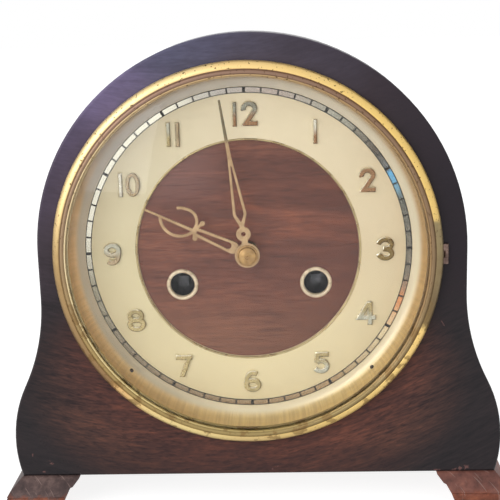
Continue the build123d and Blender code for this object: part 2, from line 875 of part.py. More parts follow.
def gear(teeth, module, phase, flank_points):
    """Outline of a stub-toothed wheel with its first tooth at the given phase, in radians."""
    pitch = teeth * module / 2
    base = pitch * cos(pressure_angle)
    root = pitch - dedendum * module
    tip = pitch + addendum * module
    thickness = (1 - backlash_share) * pi / (2 * teeth)
    flank = []
    for step in range(flank_points):
        radius = root + (tip - root) * step / (flank_points - 1)
        roll = acos(base / max(radius, base))
        flank.append((radius, thickness + involute(pressure_angle) - involute(roll)))
    points = []
    for tooth in range(teeth):
        middle = phase + 2 * pi * tooth / teeth
        for radius, half in flank:
            points.append((radius * cos(middle - half), radius * sin(middle - half)))
        for radius, half in reversed(flank):
            points.append((radius * cos(middle + half), radius * sin(middle + half)))
    return make_face(Polyline(*points, close=True))


def wheel(teeth, module, phase=0.0):
    return gear(teeth, module, phase, 2)


def pinion(teeth, module, phase=0.0):
    return gear(teeth, module, phase, 3)


def meshing_phase(driver, driver_teeth, driven, driven_teeth, driver_phase=0.0):
    """Phase that puts a gap of the driven wheel where the driver's nearest tooth stands."""
    bearing = atan2(driven[1] - driver[1], driven[0] - driver[0])
    pitch_angle = 2 * pi / driver_teeth
    offset = (driver_phase - bearing + pitch_angle / 2) % pitch_angle - pitch_angle / 2
    return bearing + pi - offset * driver_teeth / driven_teeth + pi / driven_teeth


def mesh_distance(module, teeth, leaves):
    return module * (teeth + leaves) / 2


def crossings(rim_radius, hub_radius=wheel_hub_radius):
    """Openings between the spokes of a wheel."""
    ring = Circle(rim_radius) - Circle(hub_radius)
    for step in range(wheel_spokes):
        spoke = Pos(rim_radius / 2, 0) * Rectangle(rim_radius, wheel_spoke)
        ring -= Rot(0, 0, spoke_start + 360 * step / wheel_spokes) * spoke
    return ring


def crossed_wheel(teeth, module):
    """Toothed wheel with spokes, about its own centre."""
    root = teeth * module / 2 - dedendum * module
    return wheel(teeth, module) - crossings(root - wheel_rim)


def above(point, x, distance):
    """Place at the given x and distance from a point, above it."""
    return x, point[1] + sqrt(distance ** 2 - (x - point[0]) ** 2)


def meeting(first, first_distance, second, second_distance):
    """Upper of the two places at the given distances from two points."""
    dx = second[0] - first[0]
    dz = second[1] - first[1]
    apart = hypot(dx, dz)
    along = (first_distance ** 2 - second_distance ** 2 + apart ** 2) / (2 * apart)
    off = sqrt(first_distance ** 2 - along ** 2)
    return first[0] + (along * dx - off * dz) / apart, first[1] + (along * dz + off * dx) / apart


# Arbor places, about the dial centre
great_distance = mesh_distance(great_module, great_teeth, pinion_teeth)
great_tip = great_module * (great_teeth / 2 + addendum)
going_barrel_at, strike_barrel_at = winding_points()
centre_at = (0.0, 0.0)
second_distance = mesh_distance(intermediate_module, intermediate_teeth, pinion_teeth)
intermediate_at = meeting(centre_at, second_distance, going_barrel_at, great_distance)
third_at = above(centre_at, third_x, mesh_distance(centre_module, centre_teeth, pinion_teeth))
fourth_at = above(third_at, fourth_x, mesh_distance(third_module, third_teeth, pinion_teeth))
escape_at = above(fourth_at, 0.0, mesh_distance(fourth_module, fourth_teeth, pinion_teeth))
anchor_at = (0.0, escape_at[1] + anchor_distance)
strike_second_at = above(strike_barrel_at, strike_second_x, great_distance)
pin_wheel_at = above(strike_second_at, pin_wheel_x, second_distance)
warning_at = above(pin_wheel_at, warning_x, mesh_distance(pin_module, pin_teeth, pinion_teeth))
fly_at = above(warning_at, fly_x, mesh_distance(warning_module, warning_teeth, pinion_teeth))
minute_stud_at = (0.0, mesh_distance(motion_module, minute_wheel_teeth, cannon_teeth))
hour_module = 2 * minute_stud_at[1] / (hour_wheel_teeth + minute_pinion_teeth)
hammer_at = (hammer_x, -hammer_drop)
strike_pin_circle = pin_module * (pin_teeth / 2 - dedendum) - wheel_rim / 2


def arbor(point, front_end=train_front - plate_thickness, back_end=movement_back):
    """Arbor between the plates with a pivot through each."""
    body = rod(*point, arbor_radius, train_front + end_shake, train_back - end_shake)
    return body + rod(*point, pivot_radius, front_end, back_end)


def on_arbor(point, outline, front, thickness):
    return slab(Pos(*point) * outline, front, front + thickness)


def pinion_on(point, module, driver, driver_teeth, driver_front, driver_thickness=wheel_thickness):
    """Pinion on an arbor, in mesh with a wheel that has a tooth at phase zero."""
    phase = meshing_phase(driver, driver_teeth, point, pinion_teeth)
    leaves = pinion(pinion_teeth, module, phase)
    return on_arbor(point, leaves, driver_front - pinion_overhang, driver_thickness + 2 * pinion_overhang)


front_wheel_y = train_front + front_layer
great_y = barrel_back - great_thickness
centre_y = train_back - back_layer
third_y = train_front + third_layer
fourth_y = train_front + fourth_layer
escape_y = train_front + escape_layer
warning_y = train_front + warning_layer


# Motion work


motion_back = plate_front - motion_end_gap
minute_wheel_y = motion_back - 2 * pinion_overhang - wheel_thickness
cannon_phase = meshing_phase(minute_stud_at, minute_wheel_teeth, centre_at, cannon_teeth)
hour_wheel_y = minute_wheel_y - 2 * pinion_overhang - 2 * wheel_thickness
minute_pinion_front = hour_wheel_y - pinion_overhang


def cannon_pinion():
    """Tube on the centre arbor that carries the minute hand and drives the minute wheel."""
    leaves = pinion(cannon_teeth, motion_module, cannon_phase)
    front = minute_wheel_y - pinion_overhang
    body = slab(leaves, front, motion_back) + slab(Circle(cannon_radius), nut_back, motion_back)
    return body - slab(Circle(arbor_nose_radius + running_clearance), nut_back, motion_back)


def minute_wheel():
    """Wheel and pinion between the cannon pinion and the hour wheel."""
    root = motion_module * (minute_wheel_teeth / 2 - dedendum)
    big = wheel(minute_wheel_teeth, motion_module) - crossings(root - wheel_rim, motion_hub_radius)
    phase = meshing_phase(centre_at, hour_wheel_teeth, minute_stud_at, minute_pinion_teeth)
    small = pinion(minute_pinion_teeth, hour_module, phase)
    bore = Circle(stud_radius + running_clearance)
    body = on_arbor(minute_stud_at, big - bore, minute_wheel_y, wheel_thickness)
    length = minute_wheel_y - minute_pinion_front
    return body + on_arbor(minute_stud_at, small - bore, minute_pinion_front, length)


def minute_stud():
    """Shouldered stud in the front plate under the minute wheel."""
    shoulder_front = minute_wheel_y + wheel_thickness + running_clearance
    shoulder = rod(*minute_stud_at, 2 * stud_radius, shoulder_front, plate_front)
    return shoulder + rod(*minute_stud_at, stud_radius, minute_pinion_front - pinion_overhang, plate_front)


def hour_wheel():
    """Wheel on a long tube that carries the hour hand through the dial."""
    root = hour_module * (hour_wheel_teeth / 2 - dedendum)
    big = wheel(hour_wheel_teeth, hour_module) - crossings(root - wheel_rim, motion_hub_radius)
    bore = Circle(cannon_radius + running_clearance)
    body = slab(big - bore, hour_wheel_y, hour_wheel_y + wheel_thickness)
    return body + slab(Circle(hour_tube_radius) - bore, hour_hand_back - hand_thickness, hour_wheel_y)


# Going train


def centre_wheel():
    """Centre arbor with its wheel and pinion, and a long nose for the cannon pinion."""
    body = arbor(centre_at, front_end=plate_front - end_shake)
    body += rod(0, 0, arbor_nose_radius, (nut_front + nut_back) / 2 + end_shake, train_front + end_shake)
    body += pinion_on(centre_at, intermediate_module, intermediate_at, intermediate_teeth, front_wheel_y)
    return body + on_arbor(centre_at, crossed_wheel(centre_teeth, centre_module), centre_y, wheel_thickness)


def intermediate_wheel():
    body = arbor(intermediate_at)
    body += pinion_on(intermediate_at, great_module, going_barrel_at, great_teeth, great_y, great_thickness)
    outline = crossed_wheel(intermediate_teeth, intermediate_module)
    return body + on_arbor(intermediate_at, outline, front_wheel_y, wheel_thickness)


def train_wheel(point, driver, module, driver_teeth, driver_front, outline, front):
    """Arbor with a pinion driven by the wheel before it, and a wheel of its own."""
    body = arbor(point) + pinion_on(point, module, driver, driver_teeth, driver_front)
    return body + on_arbor(point, outline, front, wheel_thickness)


def third_wheel():
    outline = crossed_wheel(third_teeth, third_module)
    return train_wheel(third_at, centre_at, centre_module, centre_teeth, centre_y, outline, third_y)


def fourth_wheel():
    outline = crossed_wheel(fourth_teeth, fourth_module)
    return train_wheel(fourth_at, third_at, third_module, third_teeth, third_y, outline, fourth_y)


def saw_teeth(teeth, tip, depth, lean):
    """Ratchet-like outline whose tips lean clockwise for a positive lean."""
    points = []
    for tooth in range(teeth):
        bearing = 2 * pi * tooth / teeth
        points.append((tip * cos(bearing), tip * sin(bearing)))
        root_bearing = bearing + 2 * pi * lean / teeth
        points.append(((tip - depth) * cos(root_bearing), (tip - depth) * sin(root_bearing)))
    return make_face(Polyline(*points, close=True))


def escape_wheel():
    rim = saw_teeth(escape_teeth, escape_radius, escape_depth, escape_lean)
    outline = rim - crossings(escape_radius - escape_depth - wheel_rim)
    return train_wheel(escape_at, fourth_at, fourth_module, fourth_teeth, fourth_y, outline, escape_y)


# Barrels and winding


def barrel(point):
    """Drum with a toothed rim at its back, turning on its winding arbor."""
    drum = Circle(barrel_radius)
    bore = Circle(winding_arbor_radius + running_clearance)
    room = Circle(barrel_radius - barrel_wall)
    body = slab(drum - bore, barrel_front, barrel_back)
    body += slab(wheel(great_teeth, great_module) - bore, great_y, barrel_back)
    body -= slab(room, barrel_front + barrel_wall, barrel_back - barrel_wall)
    return Pos(point[0], 0, point[1]) * body


def mainspring(point):
    """Spring strip coiled against the inside of the drum, in half turns of two alternating centres."""
    step = spring_pitch / 2
    outer = barrel_radius - barrel_wall - spring_end_gap - spring_strip / 2
    strip = Sketch()
    for half_turn in range(2 * spring_turns):
        radius = outer - step * half_turn
        side = 1 if half_turn % 2 == 0 else -1
        middle = 0 if side == 1 else step
        bend = ThreePointArc((middle + radius, 0), (middle, side * radius), (middle - radius, 0))
        strip += trace(bend, spring_strip)
    front = barrel_front + barrel_wall + spring_end_gap
    back = barrel_back - barrel_wall - spring_end_gap
    return slab(Pos(*point) * strip, front, back)


def winding_arbor(point, side):
    """Arbor through the barrel, with the key's square in front and the ratchet wheel against the plate."""
    square = Rectangle(winding_square, winding_square)
    ratchet_back = plate_front - ratchet_plate_gap
    ratchet = saw_teeth(ratchet_teeth, ratchet_radius, ratchet_depth, ratchet_lean * side)
    body = slab(square, disc_back + winding_recess, ratchet_back)
    body += slab(ratchet, ratchet_back - ratchet_thickness, ratchet_back)
    body += slab(Circle(winding_arbor_radius), ratchet_back, train_back - end_shake)
    core_front = barrel_front + barrel_wall + core_end_gap
    core_back = barrel_back - barrel_wall - core_end_gap
    body += slab(Circle(arbor_core_radius), core_front, core_back)
    body += slab(Circle(winding_arbor_radius / 2), train_back - end_shake, movement_back)
    return Pos(point[0], 0, point[1]) * body


click_tip_radius_out = ratchet_radius + click_lift + click_tip_radius


def click_stud_place(point, side):
    x, z = polar(click_reach, click_bearing)
    return point[0] + side * x, point[1] + z


def click(point, side):
    """Pawl on its stud, its tip just clear of the ratchet teeth."""
    stud = click_stud_place(point, side)
    tip_x, tip_z = polar(click_tip_radius_out, click_tip_bearing)
    pawl = tapered(stud, click_boss_radius, (point[0] + side * tip_x, point[1] + tip_z), click_tip_radius)
    pawl -= Pos(*stud) * Circle(stud_radius + running_clearance)
    back = plate_front - ratchet_plate_gap
    return slab(pawl, back - ratchet_thickness, back)


def click_studs():
    studs = Part()
    for point, side in ((going_barrel_at, 1), (strike_barrel_at, -1)):
        place = click_stud_place(point, side)
        studs += rod(*place, stud_radius, plate_front - ratchet_plate_gap - ratchet_thickness, plate_front)
    return studs


# Strike train


def strike_second_wheel():
    body = arbor(strike_second_at)
    body += pinion_on(strike_second_at, great_module, strike_barrel_at, great_teeth, great_y, great_thickness)
    outline = crossed_wheel(intermediate_teeth, intermediate_module)
    return body + on_arbor(strike_second_at, outline, front_wheel_y, wheel_thickness)


def pin_wheel():
    """Wheel with a ring of pins that lift the hammer tail."""
    outline = crossed_wheel(pin_teeth, pin_module)
    body = arbor(pin_wheel_at) + on_arbor(pin_wheel_at, outline, centre_y, wheel_thickness)
    body += pinion_on(pin_wheel_at, intermediate_module, strike_second_at, intermediate_teeth, front_wheel_y)
    pins_front = centre_y + wheel_thickness
    for step in range(strike_pins):
        x, z = polar(strike_pin_circle, 360 * step / strike_pins)
        pin_at = (pin_wheel_at[0] + x, pin_wheel_at[1] + z)
        body += rod(*pin_at, strike_pin_radius, pins_front, pins_front + strike_pin_length)
    return body


def warning_wheel():
    outline = crossed_wheel(warning_teeth, warning_module)
    return train_wheel(warning_at, pin_wheel_at, pin_module, pin_teeth, centre_y, outline, warning_y)


def fly():
    """Air brake: pinion and a flat vane."""
    body = arbor(fly_at) + pinion_on(fly_at, warning_module, warning_at, warning_teeth, warning_y)
    vane = Rectangle(2 * fly_radius, fly_sheet)
    front = warning_y + wheel_thickness + pinion_overhang + fly_front_gap
    return body + on_arbor(fly_at, vane, front, fly_length)


# Plates


plate_half_width = winding_x + great_tip
plate_bottom = -winding_drop - great_tip - plate_edge
plate_top = anchor_at[1] + plate_crown
going_points = [intermediate_at, third_at, fourth_at, escape_at]
strike_points = [strike_second_at, pin_wheel_at, warning_at, fly_at]


def pillar_points():
    xs = (plate_half_width - pillar_inset, pillar_inset - plate_half_width)
    return [(x, z) for x in xs for z in (plate_bottom + pillar_inset, plate_top - pillar_inset)]


def plate_outline():
    height = plate_top - plate_bottom
    middle = Pos(0, (plate_top + plate_bottom) / 2)
    return middle * RectangleRounded(2 * plate_half_width, height, plate_corner)


def drilled(outline, points, radius):
    for point in points:
        outline -= Pos(*point) * Circle(radius + running_clearance)
    return outline


def front_plate():
    outline = drilled(plate_outline(), going_points + strike_points + [anchor_at, hammer_at], pivot_radius)
    outline = drilled(outline, [centre_at], arbor_nose_radius)
    outline = drilled(outline, winding_points(), winding_arbor_radius)
    return slab(drilled(outline, pillar_points(), pillar_radius / 2), plate_front, train_front)


def back_plate():
    outline = drilled(plate_outline(), going_points + strike_points + [centre_at], pivot_radius)
    outline = drilled(outline, [anchor_at, hammer_at], arbor_radius)
    outline = drilled(outline, winding_points(), winding_arbor_radius / 2)
    return slab(drilled(outline, pillar_points(), pillar_radius / 2), train_back, movement_back)


def plate_pillars():
    """Shouldered pillars with a headed screw end outside each plate."""
    pillars = Part()
    for point in pillar_points():
        pillars += rod(*point, pillar_radius, train_front, train_back)
        pillars += rod(*point, pillar_radius / 2, plate_front, movement_back)
        pillars += rod(*point, pillar_radius, plate_front - pillar_head, plate_front)
        pillars += rod(*point, pillar_radius, movement_back, movement_back + pillar_head)
    return pillars


# Escapement and pendulum


crutch_front = movement_back + crutch_gap
crutch_back = crutch_front + crutch_thickness


def anchor():
    """Anchor over the escape wheel, its arbor through the back plate, and the crutch with its fork."""
    inner = escape_radius + pallet_clearance
    arch = Circle(inner + pallet_width) - Circle(inner)
    reach = 2 * (inner + pallet_width)
    left = polar(reach, 90 + pallet_half_span)
    right = polar(reach, 90 - pallet_half_span)
    wedge = make_face(Polyline((0, 0), right, (reach, 2 * reach), (-reach, 2 * reach), left, close=True))
    pallets = Pos(*escape_at) * (arch & wedge)
    body = slab(pallets + Pos(*anchor_at) * Circle(anchor_hub_radius), escape_y, escape_y + wheel_thickness)
    body += rod(*anchor_at, arbor_radius, train_front + end_shake, crutch_back)
    body += rod(*anchor_at, pivot_radius, plate_front, train_front + end_shake)
    foot_z = anchor_at[1] - crutch_length
    strip = Pos(0, (anchor_at[1] + foot_z) / 2) * Rectangle(crutch_width, crutch_length)
    body += slab(strip + Pos(*anchor_at) * Circle(anchor_hub_radius), crutch_front, crutch_back)
    fork_half = rod_radius + fork_pin_radius + running_clearance
    bridge = Pos(0, foot_z) * Rectangle(2 * (fork_half + fork_pin_radius), crutch_width)
    body += slab(bridge, crutch_front, crutch_back)
    for side in (1, -1):
        body += rod(side * fork_half, foot_z, fork_pin_radius, crutch_front, crutch_back + fork_reach)
    return body


block_top = anchor_at[1] - block_drop
bob_z = anchor_at[1] - bob_drop
nut_top = bob_z - bob_radius
rod_foot = nut_top - rating_nut_height - rod_tail


def suspension_spring():
    top = anchor_at[1] + suspension_rise
    leaf = Pos(0, (top + block_top) / 2) * Rectangle(suspension_width, top - block_top)
    return slab(leaf, pendulum_y - suspension_sheet / 2, pendulum_y + suspension_sheet / 2)


def pendulum_rod():
    """Round rod under a flat top block that takes the suspension spring."""
    block = Pos(0, block_top - block_height / 2) * Rectangle(block_width, block_height)
    body = slab(block, pendulum_y - block_thickness / 2, pendulum_y + block_thickness / 2)
    bar = Pos(0, pendulum_y, rod_foot) * Circle(rod_radius)
    return body + extrude(bar, block_top - block_height - rod_foot)


def pendulum_bob():
    """Lens-shaped bob that slides on the rod and rests on the rating nut."""
    edge = bob_edge / 2
    half = bob_thickness / 2
    swell = edge + cap_rise(bob_radius, half - edge)
    front_curve = ThreePointArc((0, -half), (bob_radius / 2, -swell), (bob_radius, -edge))
    back_curve = ThreePointArc((bob_radius, edge), (bob_radius / 2, swell), (0, half))
    rim = Line((bob_radius, -edge), (bob_radius, edge))
    lens = turned(front_curve, rim, back_curve, Line((0, half), (0, -half)))
    bore = extrude(Pos(0, 0, -bob_radius) * Circle(rod_radius + seat_clearance), 2 * bob_radius)
    return Pos(0, pendulum_y, bob_z) * (lens - bore)


def rating_nut():
    ring = Circle(rating_nut_radius) - Circle(rod_radius + running_clearance)
    foot_z = nut_top - rating_nut_height
    return extrude(Pos(0, pendulum_y, foot_z) * ring, rating_nut_height - running_clearance)


def pendulum_cock():
    """Bracket on the back plate with a slot for the suspension spring."""
    top = plate_top
    low = top - cock_height
    arm = Pos(0, (top + low) / 2) * Rectangle(cock_width, cock_height)
    body = slab(arm, movement_back, pendulum_y + cock_end)
    slot_width = suspension_width + 2 * cock_slot_gap
    slot = Pos(0, low) * Rectangle(slot_width, 2 * (anchor_at[1] + suspension_rise + cock_slot_gap - low))
    half = suspension_sheet / 2 + running_clearance
    return body - slab(slot, pendulum_y - half, pendulum_y + half)


# Hammers and gong


base_top = foot_height + base_thickness - dial_z
gong_block_x = gong_block_width + gong_wall_gap - shell_inner_foot() - dial_offset
hammer_head_x = gong_block_x + hammer_reach
gong_z = base_top + gong_rod_height
gong_y = [pendulum_y + offset * gong_rod_spacing / 2 for offset in (-1, 1)]
head_low = gong_z + gong_rod_radius + gong_rest_gap
arm_front = movement_back + hammer_arm_gap
arm_back = arm_front + hammer_arm_thickness


def hammers():
    """Two heads on one arm behind the back plate, with the lifting tail on their arbor inside."""
    head_middle = head_low + hammer_head_height / 2
    body = rod(*hammer_at, arbor_radius, train_front + end_shake, arm_back)
    body += rod(*hammer_at, pivot_radius, plate_front, train_front + end_shake)
    arm = tapered(hammer_at, 2 * arbor_radius, (hammer_head_x, head_middle), hammer_arm_width / 2)
    body += slab(arm, arm_front, arm_back)
    bar_back = gong_y[1] + hammer_head_radius / 2
    body += rod(hammer_head_x, head_middle, hammer_arm_width / 2, arm_front, bar_back)
    for depth in gong_y:
        head = Pos(hammer_head_x, depth, head_low) * Circle(hammer_head_radius)
        body += extrude(head, hammer_head_height)
    bearing = atan2(hammer_at[1] - pin_wheel_at[1], hammer_at[0] - pin_wheel_at[0])
    clear = strike_pin_circle + strike_pin_radius + hammer_tail_gap + arbor_radius / 2
    tip = (pin_wheel_at[0] + clear * cos(bearing), pin_wheel_at[1] + clear * sin(bearing))
    tail = tapered(hammer_at, 2 * arbor_radius, tip, arbor_radius / 2)
    tail_back = train_back - hammer_tail_layer + wheel_thickness / 2
    return body + slab(tail, tail_back - wheel_thickness, tail_back)


def gong_block():
    """Cast block screwed to the base board."""
    height = gong_rod_height + gong_rod_radius + gong_block_top
    middle = Pos(gong_block_x - gong_block_width / 2, base_top + height / 2)
    outline = middle * Rectangle(gong_block_width, height)
    return slab(outline, gong_y[0] - gong_block_margin, gong_y[1] + gong_block_margin)


def gong_rods():
    rods = Part()
    for depth in gong_y:
        section = Plane(origin=(gong_block_x, depth, gong_z), z_dir=(1, 0, 0)) * Circle(gong_rod_radius)
        rods += extrude(section, gong_rod_length)
    return rods


case_pieces = {
    "front_panel": front_panel(),
    "case_shell": case_shell(),
    "base_board": base_board(),
    "back_panel": back_panel(),
    "foot_left": foot(-1),
    "foot_right": foot(1),
    "back_door": back_door(),
    "door_hinge_leaves": door_hinge_leaves(),
    "door_hinge_flaps": door_hinge_flaps(),
    "door_hinge_pins": door_hinge_pins(),
    "door_knob": door_knob(),
}

dial_pieces = {
    "dial_plate": dial_plate(),
    "dial_centre": dial_centre(),
    "winding_ferrules": winding_ferrules(),
    "dial_posts": dial_posts(),
    "numerals": numerals(),
    "bezel_ring": bezel_ring(),
    "bezel_glass": bezel_glass(),
    "glass_retainer": glass_retainer(),
    "bezel_hinge_leaf": bezel_hinge_leaf(),
    "bezel_hinge_strap": bezel_hinge_strap(),
    "bezel_hinge_pin": bezel_hinge_pin(),
    "hour_hand": hour_hand(),
    "minute_hand": minute_hand(),
    "hand_nut": hand_nut(),
    "cannon_pinion": cannon_pinion(),
    "minute_wheel": minute_wheel(),
    "minute_stud": minute_stud(),
    "hour_wheel": hour_wheel(),
    "front_plate": front_plate(),
    "back_plate": back_plate(),
    "plate_pillars": plate_pillars(),
    "going_barrel": barrel(going_barrel_at),
    "going_mainspring": mainspring(going_barrel_at),
    "going_winding_arbor": winding_arbor(going_barrel_at, 1),
    "going_click": click(going_barrel_at, 1),
    "strike_barrel": barrel(strike_barrel_at),
    "strike_mainspring": mainspring(strike_barrel_at),
    "strike_winding_arbor": winding_arbor(strike_barrel_at, -1),
    "strike_click": click(strike_barrel_at, -1),
    "click_studs": click_studs(),
    "intermediate_wheel": intermediate_wheel(),
    "centre_wheel": centre_wheel(),
    "third_wheel": third_wheel(),
    "fourth_wheel": fourth_wheel(),
    "escape_wheel": escape_wheel(),
    "anchor": anchor(),
    "suspension_spring": suspension_spring(),
    "pendulum_rod": pendulum_rod(),
    "pendulum_bob": pendulum_bob(),
    "rating_nut": rating_nut(),
    "pendulum_cock": pendulum_cock(),
    "strike_second_wheel": strike_second_wheel(),
    "pin_wheel": pin_wheel(),
    "warning_wheel": warning_wheel(),
    "fly": fly(),
    "hammers": hammers(),
    "gong_block": gong_block(),
    "gong_rods": gong_rods(),
}

print("mainspring gap between turns", spring_pitch - spring_strip)

os.makedirs("parts", exist_ok=True)
for pieces, place in ((case_pieces, case_place), (dial_pieces, dial_place)):
    for name, piece in pieces.items():
        export_step(place(piece), "parts/" + name + ".step")
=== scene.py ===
import bmesh
import bpy
from math import asin, cos, pi, radians, sin, sqrt
from mathutils import Matrix, Vector


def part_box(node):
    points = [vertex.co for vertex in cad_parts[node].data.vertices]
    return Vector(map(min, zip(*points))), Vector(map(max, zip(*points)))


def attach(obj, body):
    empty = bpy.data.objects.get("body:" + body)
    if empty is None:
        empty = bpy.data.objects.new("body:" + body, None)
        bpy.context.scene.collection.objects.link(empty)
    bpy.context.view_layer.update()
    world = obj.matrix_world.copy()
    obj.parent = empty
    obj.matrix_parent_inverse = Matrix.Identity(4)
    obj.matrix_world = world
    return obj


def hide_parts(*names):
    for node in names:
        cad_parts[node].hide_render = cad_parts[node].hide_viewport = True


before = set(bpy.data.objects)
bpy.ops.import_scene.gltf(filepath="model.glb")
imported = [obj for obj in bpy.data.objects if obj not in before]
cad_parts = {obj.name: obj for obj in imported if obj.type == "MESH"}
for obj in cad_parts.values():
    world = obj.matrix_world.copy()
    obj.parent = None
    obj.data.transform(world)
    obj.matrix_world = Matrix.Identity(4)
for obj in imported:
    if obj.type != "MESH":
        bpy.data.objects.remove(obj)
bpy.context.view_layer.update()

# Camera
# The photograph was taken close to the clock, a little above the dial and to its right,
# with the camera turned slightly, so that the clock leans to the left.
mm = 0.001
panel_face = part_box("front_panel")[0].y
dial_low, dial_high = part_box("dial_plate")
dial_axis = Vector(((dial_low.x + dial_high.x) / 2, panel_face, (dial_low.z + dial_high.z) / 2))
dial_depth = 11.5
camera_distance = 0.500
camera_height = radians(13.16)
camera_side = radians(2.22)
camera_roll = radians(-1.57)
image_side = 500
focal_pixels = 1143.6
picture_shift = (3.4, 0.5)
sensor = 36
aim_right = 2.3
camera = bpy.data.objects.new("camera", bpy.data.cameras.new("camera"))
bpy.context.scene.collection.objects.link(camera)
camera.data.sensor_width = sensor
camera.data.lens = focal_pixels / image_side * sensor
camera.data.shift_x = -picture_shift[0] / image_side
camera.data.shift_y = picture_shift[1] / image_side
aim = dial_axis + Vector((aim_right, dial_depth, 0)) * mm
flat = cos(camera_height)
towards = Vector((sin(camera_side) * flat, -cos(camera_side) * flat, sin(camera_height)))
level = (-towards).to_track_quat("-Z", "Y").to_matrix().to_4x4()
standpoint = Matrix.Translation(aim + camera_distance * towards)
camera.matrix_world = standpoint @ level @ Matrix.Rotation(camera_roll, 4, "Z")
bpy.context.scene.camera = camera

# Front panel
# A thick board with a round opening for the dial, faced with mahogany veneer whose grain sags in the middle.
# The lacquer is shaded dark at the swelling sides.  Over the arch a purple sheen is painted, bright at the
# upper left and darker towards the right.


def srgb(red, green, blue):
    """Linear colour of an sRGB value from 0 to 255."""
    shares = [value / 255 for value in (red, green, blue)]
    return [part / 12.92 if part <= 0.04045 else ((part + 0.055) / 1.055) ** 2.4 for part in shares] + [1]


class Finish:
    """One surface finish, mixed from a few kinds of nodes."""

    def __init__(self, name, roughness=0.5, metallic=0.0, specular=0.5):
        self.material = bpy.data.materials.new(name)
        self.material.use_nodes = True
        self.tree = self.material.node_tree
        self.shader = self.tree.nodes["Principled BSDF"]
        self.set("Roughness", roughness)
        self.set("Metallic", metallic)
        self.set("Specular IOR Level", specular)
        self.place = self.tree.nodes.new("ShaderNodeTexCoord").outputs["Object"]

    def feed(self, socket, value):
        """Link a node's output to a socket, or set the socket to a constant."""
        if isinstance(value, bpy.types.NodeSocket):
            self.tree.links.new(value, socket)
        else:
            socket.default_value = value

    def set(self, name, value):
        """Give the shader's own socket of that name a value or a pattern."""
        self.feed(self.shader.inputs[name], value)

    def math(self, operation, first, second=0.0):
        """Result of one sum on two values or patterns."""
        node = self.tree.nodes.new("ShaderNodeMath")
        node.operation = operation
        self.feed(node.inputs[0], first)
        self.feed(node.inputs[1], second)
        return node.outputs[0]

    def vector(self, operation, first, second):
        """Result of one sum on two places or directions."""
        node = self.tree.nodes.new("ShaderNodeVectorMath")
        node.operation = operation
        self.feed(node.inputs[0], first)
        self.feed(node.inputs[1], second)
        return node.outputs[0]

    def axes(self, origin=(0, 0, 0)):
        """Place of a point as x, y and z in metres from an origin."""
        node = self.tree.nodes.new("ShaderNodeSeparateXYZ")
        self.feed(node.inputs[0], self.vector("SUBTRACT", self.place, origin))
        return node.outputs

    def joined(self, across, away, up):
        """Place with these x, y and z."""
        node = self.tree.nodes.new("ShaderNodeCombineXYZ")
        for socket, value in zip(node.inputs, (across, away, up)):
            self.feed(socket, value)
        return node.outputs[0]

    def about_dial(self):
        """Distance from the dial's axis, and turn about it: 0 and 1 at six o'clock, 0.5 at twelve."""
        across, _, up = self.axes(dial_axis)
        squares = self.math("ADD", self.math("POWER", across, 2), self.math("POWER", up, 2))
        angle = self.math("ARCTAN2", across, up)
        return self.math("SQRT", squares), self.math("ADD", self.math("DIVIDE", angle, 2 * pi), 0.5)

    def cloud(self, repeats, detail=4.0, roughness=0.5, distortion=0.0, place=None):
        """Cloudy pattern from 0 to 1, with its repeats per metre along x, y and z."""
        node = self.tree.nodes.new("ShaderNodeTexNoise")
        self.feed(node.inputs["Vector"], self.vector("MULTIPLY", place or self.place, repeats))
        node.inputs["Scale"].default_value = 1
        node.inputs["Detail"].default_value = detail
        node.inputs["Roughness"].default_value = roughness
        node.inputs["Distortion"].default_value = distortion
        return node.outputs["Fac"]

    def between(self, value, low, high, start=0.0, end=1.0):
        """Smooth change from start to end while a value goes from low to high."""
        node = self.tree.nodes.new("ShaderNodeMapRange")
        node.interpolation_type = "SMOOTHSTEP"
        parts = {"Value": value, "From Min": low, "From Max": high, "To Min": start, "To Max": end}
        for name, part in parts.items():
            self.feed(node.inputs[name], part)
        return node.outputs["Result"]

    def shades(self, factor, *stops):
        """Colour along a factor, from pairs of a position and an sRGB colour."""
        node = self.tree.nodes.new("ShaderNodeValToRGB")
        elements = node.color_ramp.elements
        while len(elements) < len(stops):
            elements.new(0.5)
        for element, (position, colour) in zip(elements, stops):
            element.position = position
            element.color = srgb(*colour)
        self.feed(node.inputs["Fac"], factor)
        return node.outputs["Color"]

    def blend(self, factor, first, second):
        """Colour between two others, the second where the factor is 1."""
        node = self.tree.nodes.new("ShaderNodeMix")
        node.data_type = "RGBA"
        for socket, value in ((node.inputs[0], factor), (node.inputs[6], first), (node.inputs[7], second)):
            self.feed(socket, value)
        return node.outputs[2]

    def mixed(self, *parts):
        """Sum of several patterns, each times its share."""
        total = 0.0
        for pattern, share in parts:
            total = self.math("ADD", self.math("MULTIPLY", pattern, share), total)
        return total

    def mark(self, x, z, length, width, lean):
        """1 on a bruise at a place on the front of the clock, in metres, leaning by degrees from level."""
        across, _, up = self.axes((x, 0, z))
        run, rise = cos(radians(lean)), sin(radians(lean))
        along = self.math("ADD", self.math("MULTIPLY", across, run), self.math("MULTIPLY", up, rise))
        aside = self.math("SUBTRACT", self.math("MULTIPLY", up, run), self.math("MULTIPLY", across, rise))
        along = self.math("POWER", self.math("DIVIDE", along, length), 2)
        aside = self.math("POWER", self.math("DIVIDE", aside, width), 2)
        return self.between(self.math("ADD", along, aside), 0.3, 1.0, 1.0, 0.0)

    def facing(self, direction):
        """How far a surface faces a direction, from -1 to 1."""
        node = self.tree.nodes.new("ShaderNodeVectorMath")
        node.operation = "DOT_PRODUCT"
        self.feed(node.inputs[0], self.tree.nodes.new("ShaderNodeNewGeometry").outputs["Normal"])
        self.feed(node.inputs[1], direction)
        return node.outputs["Value"]

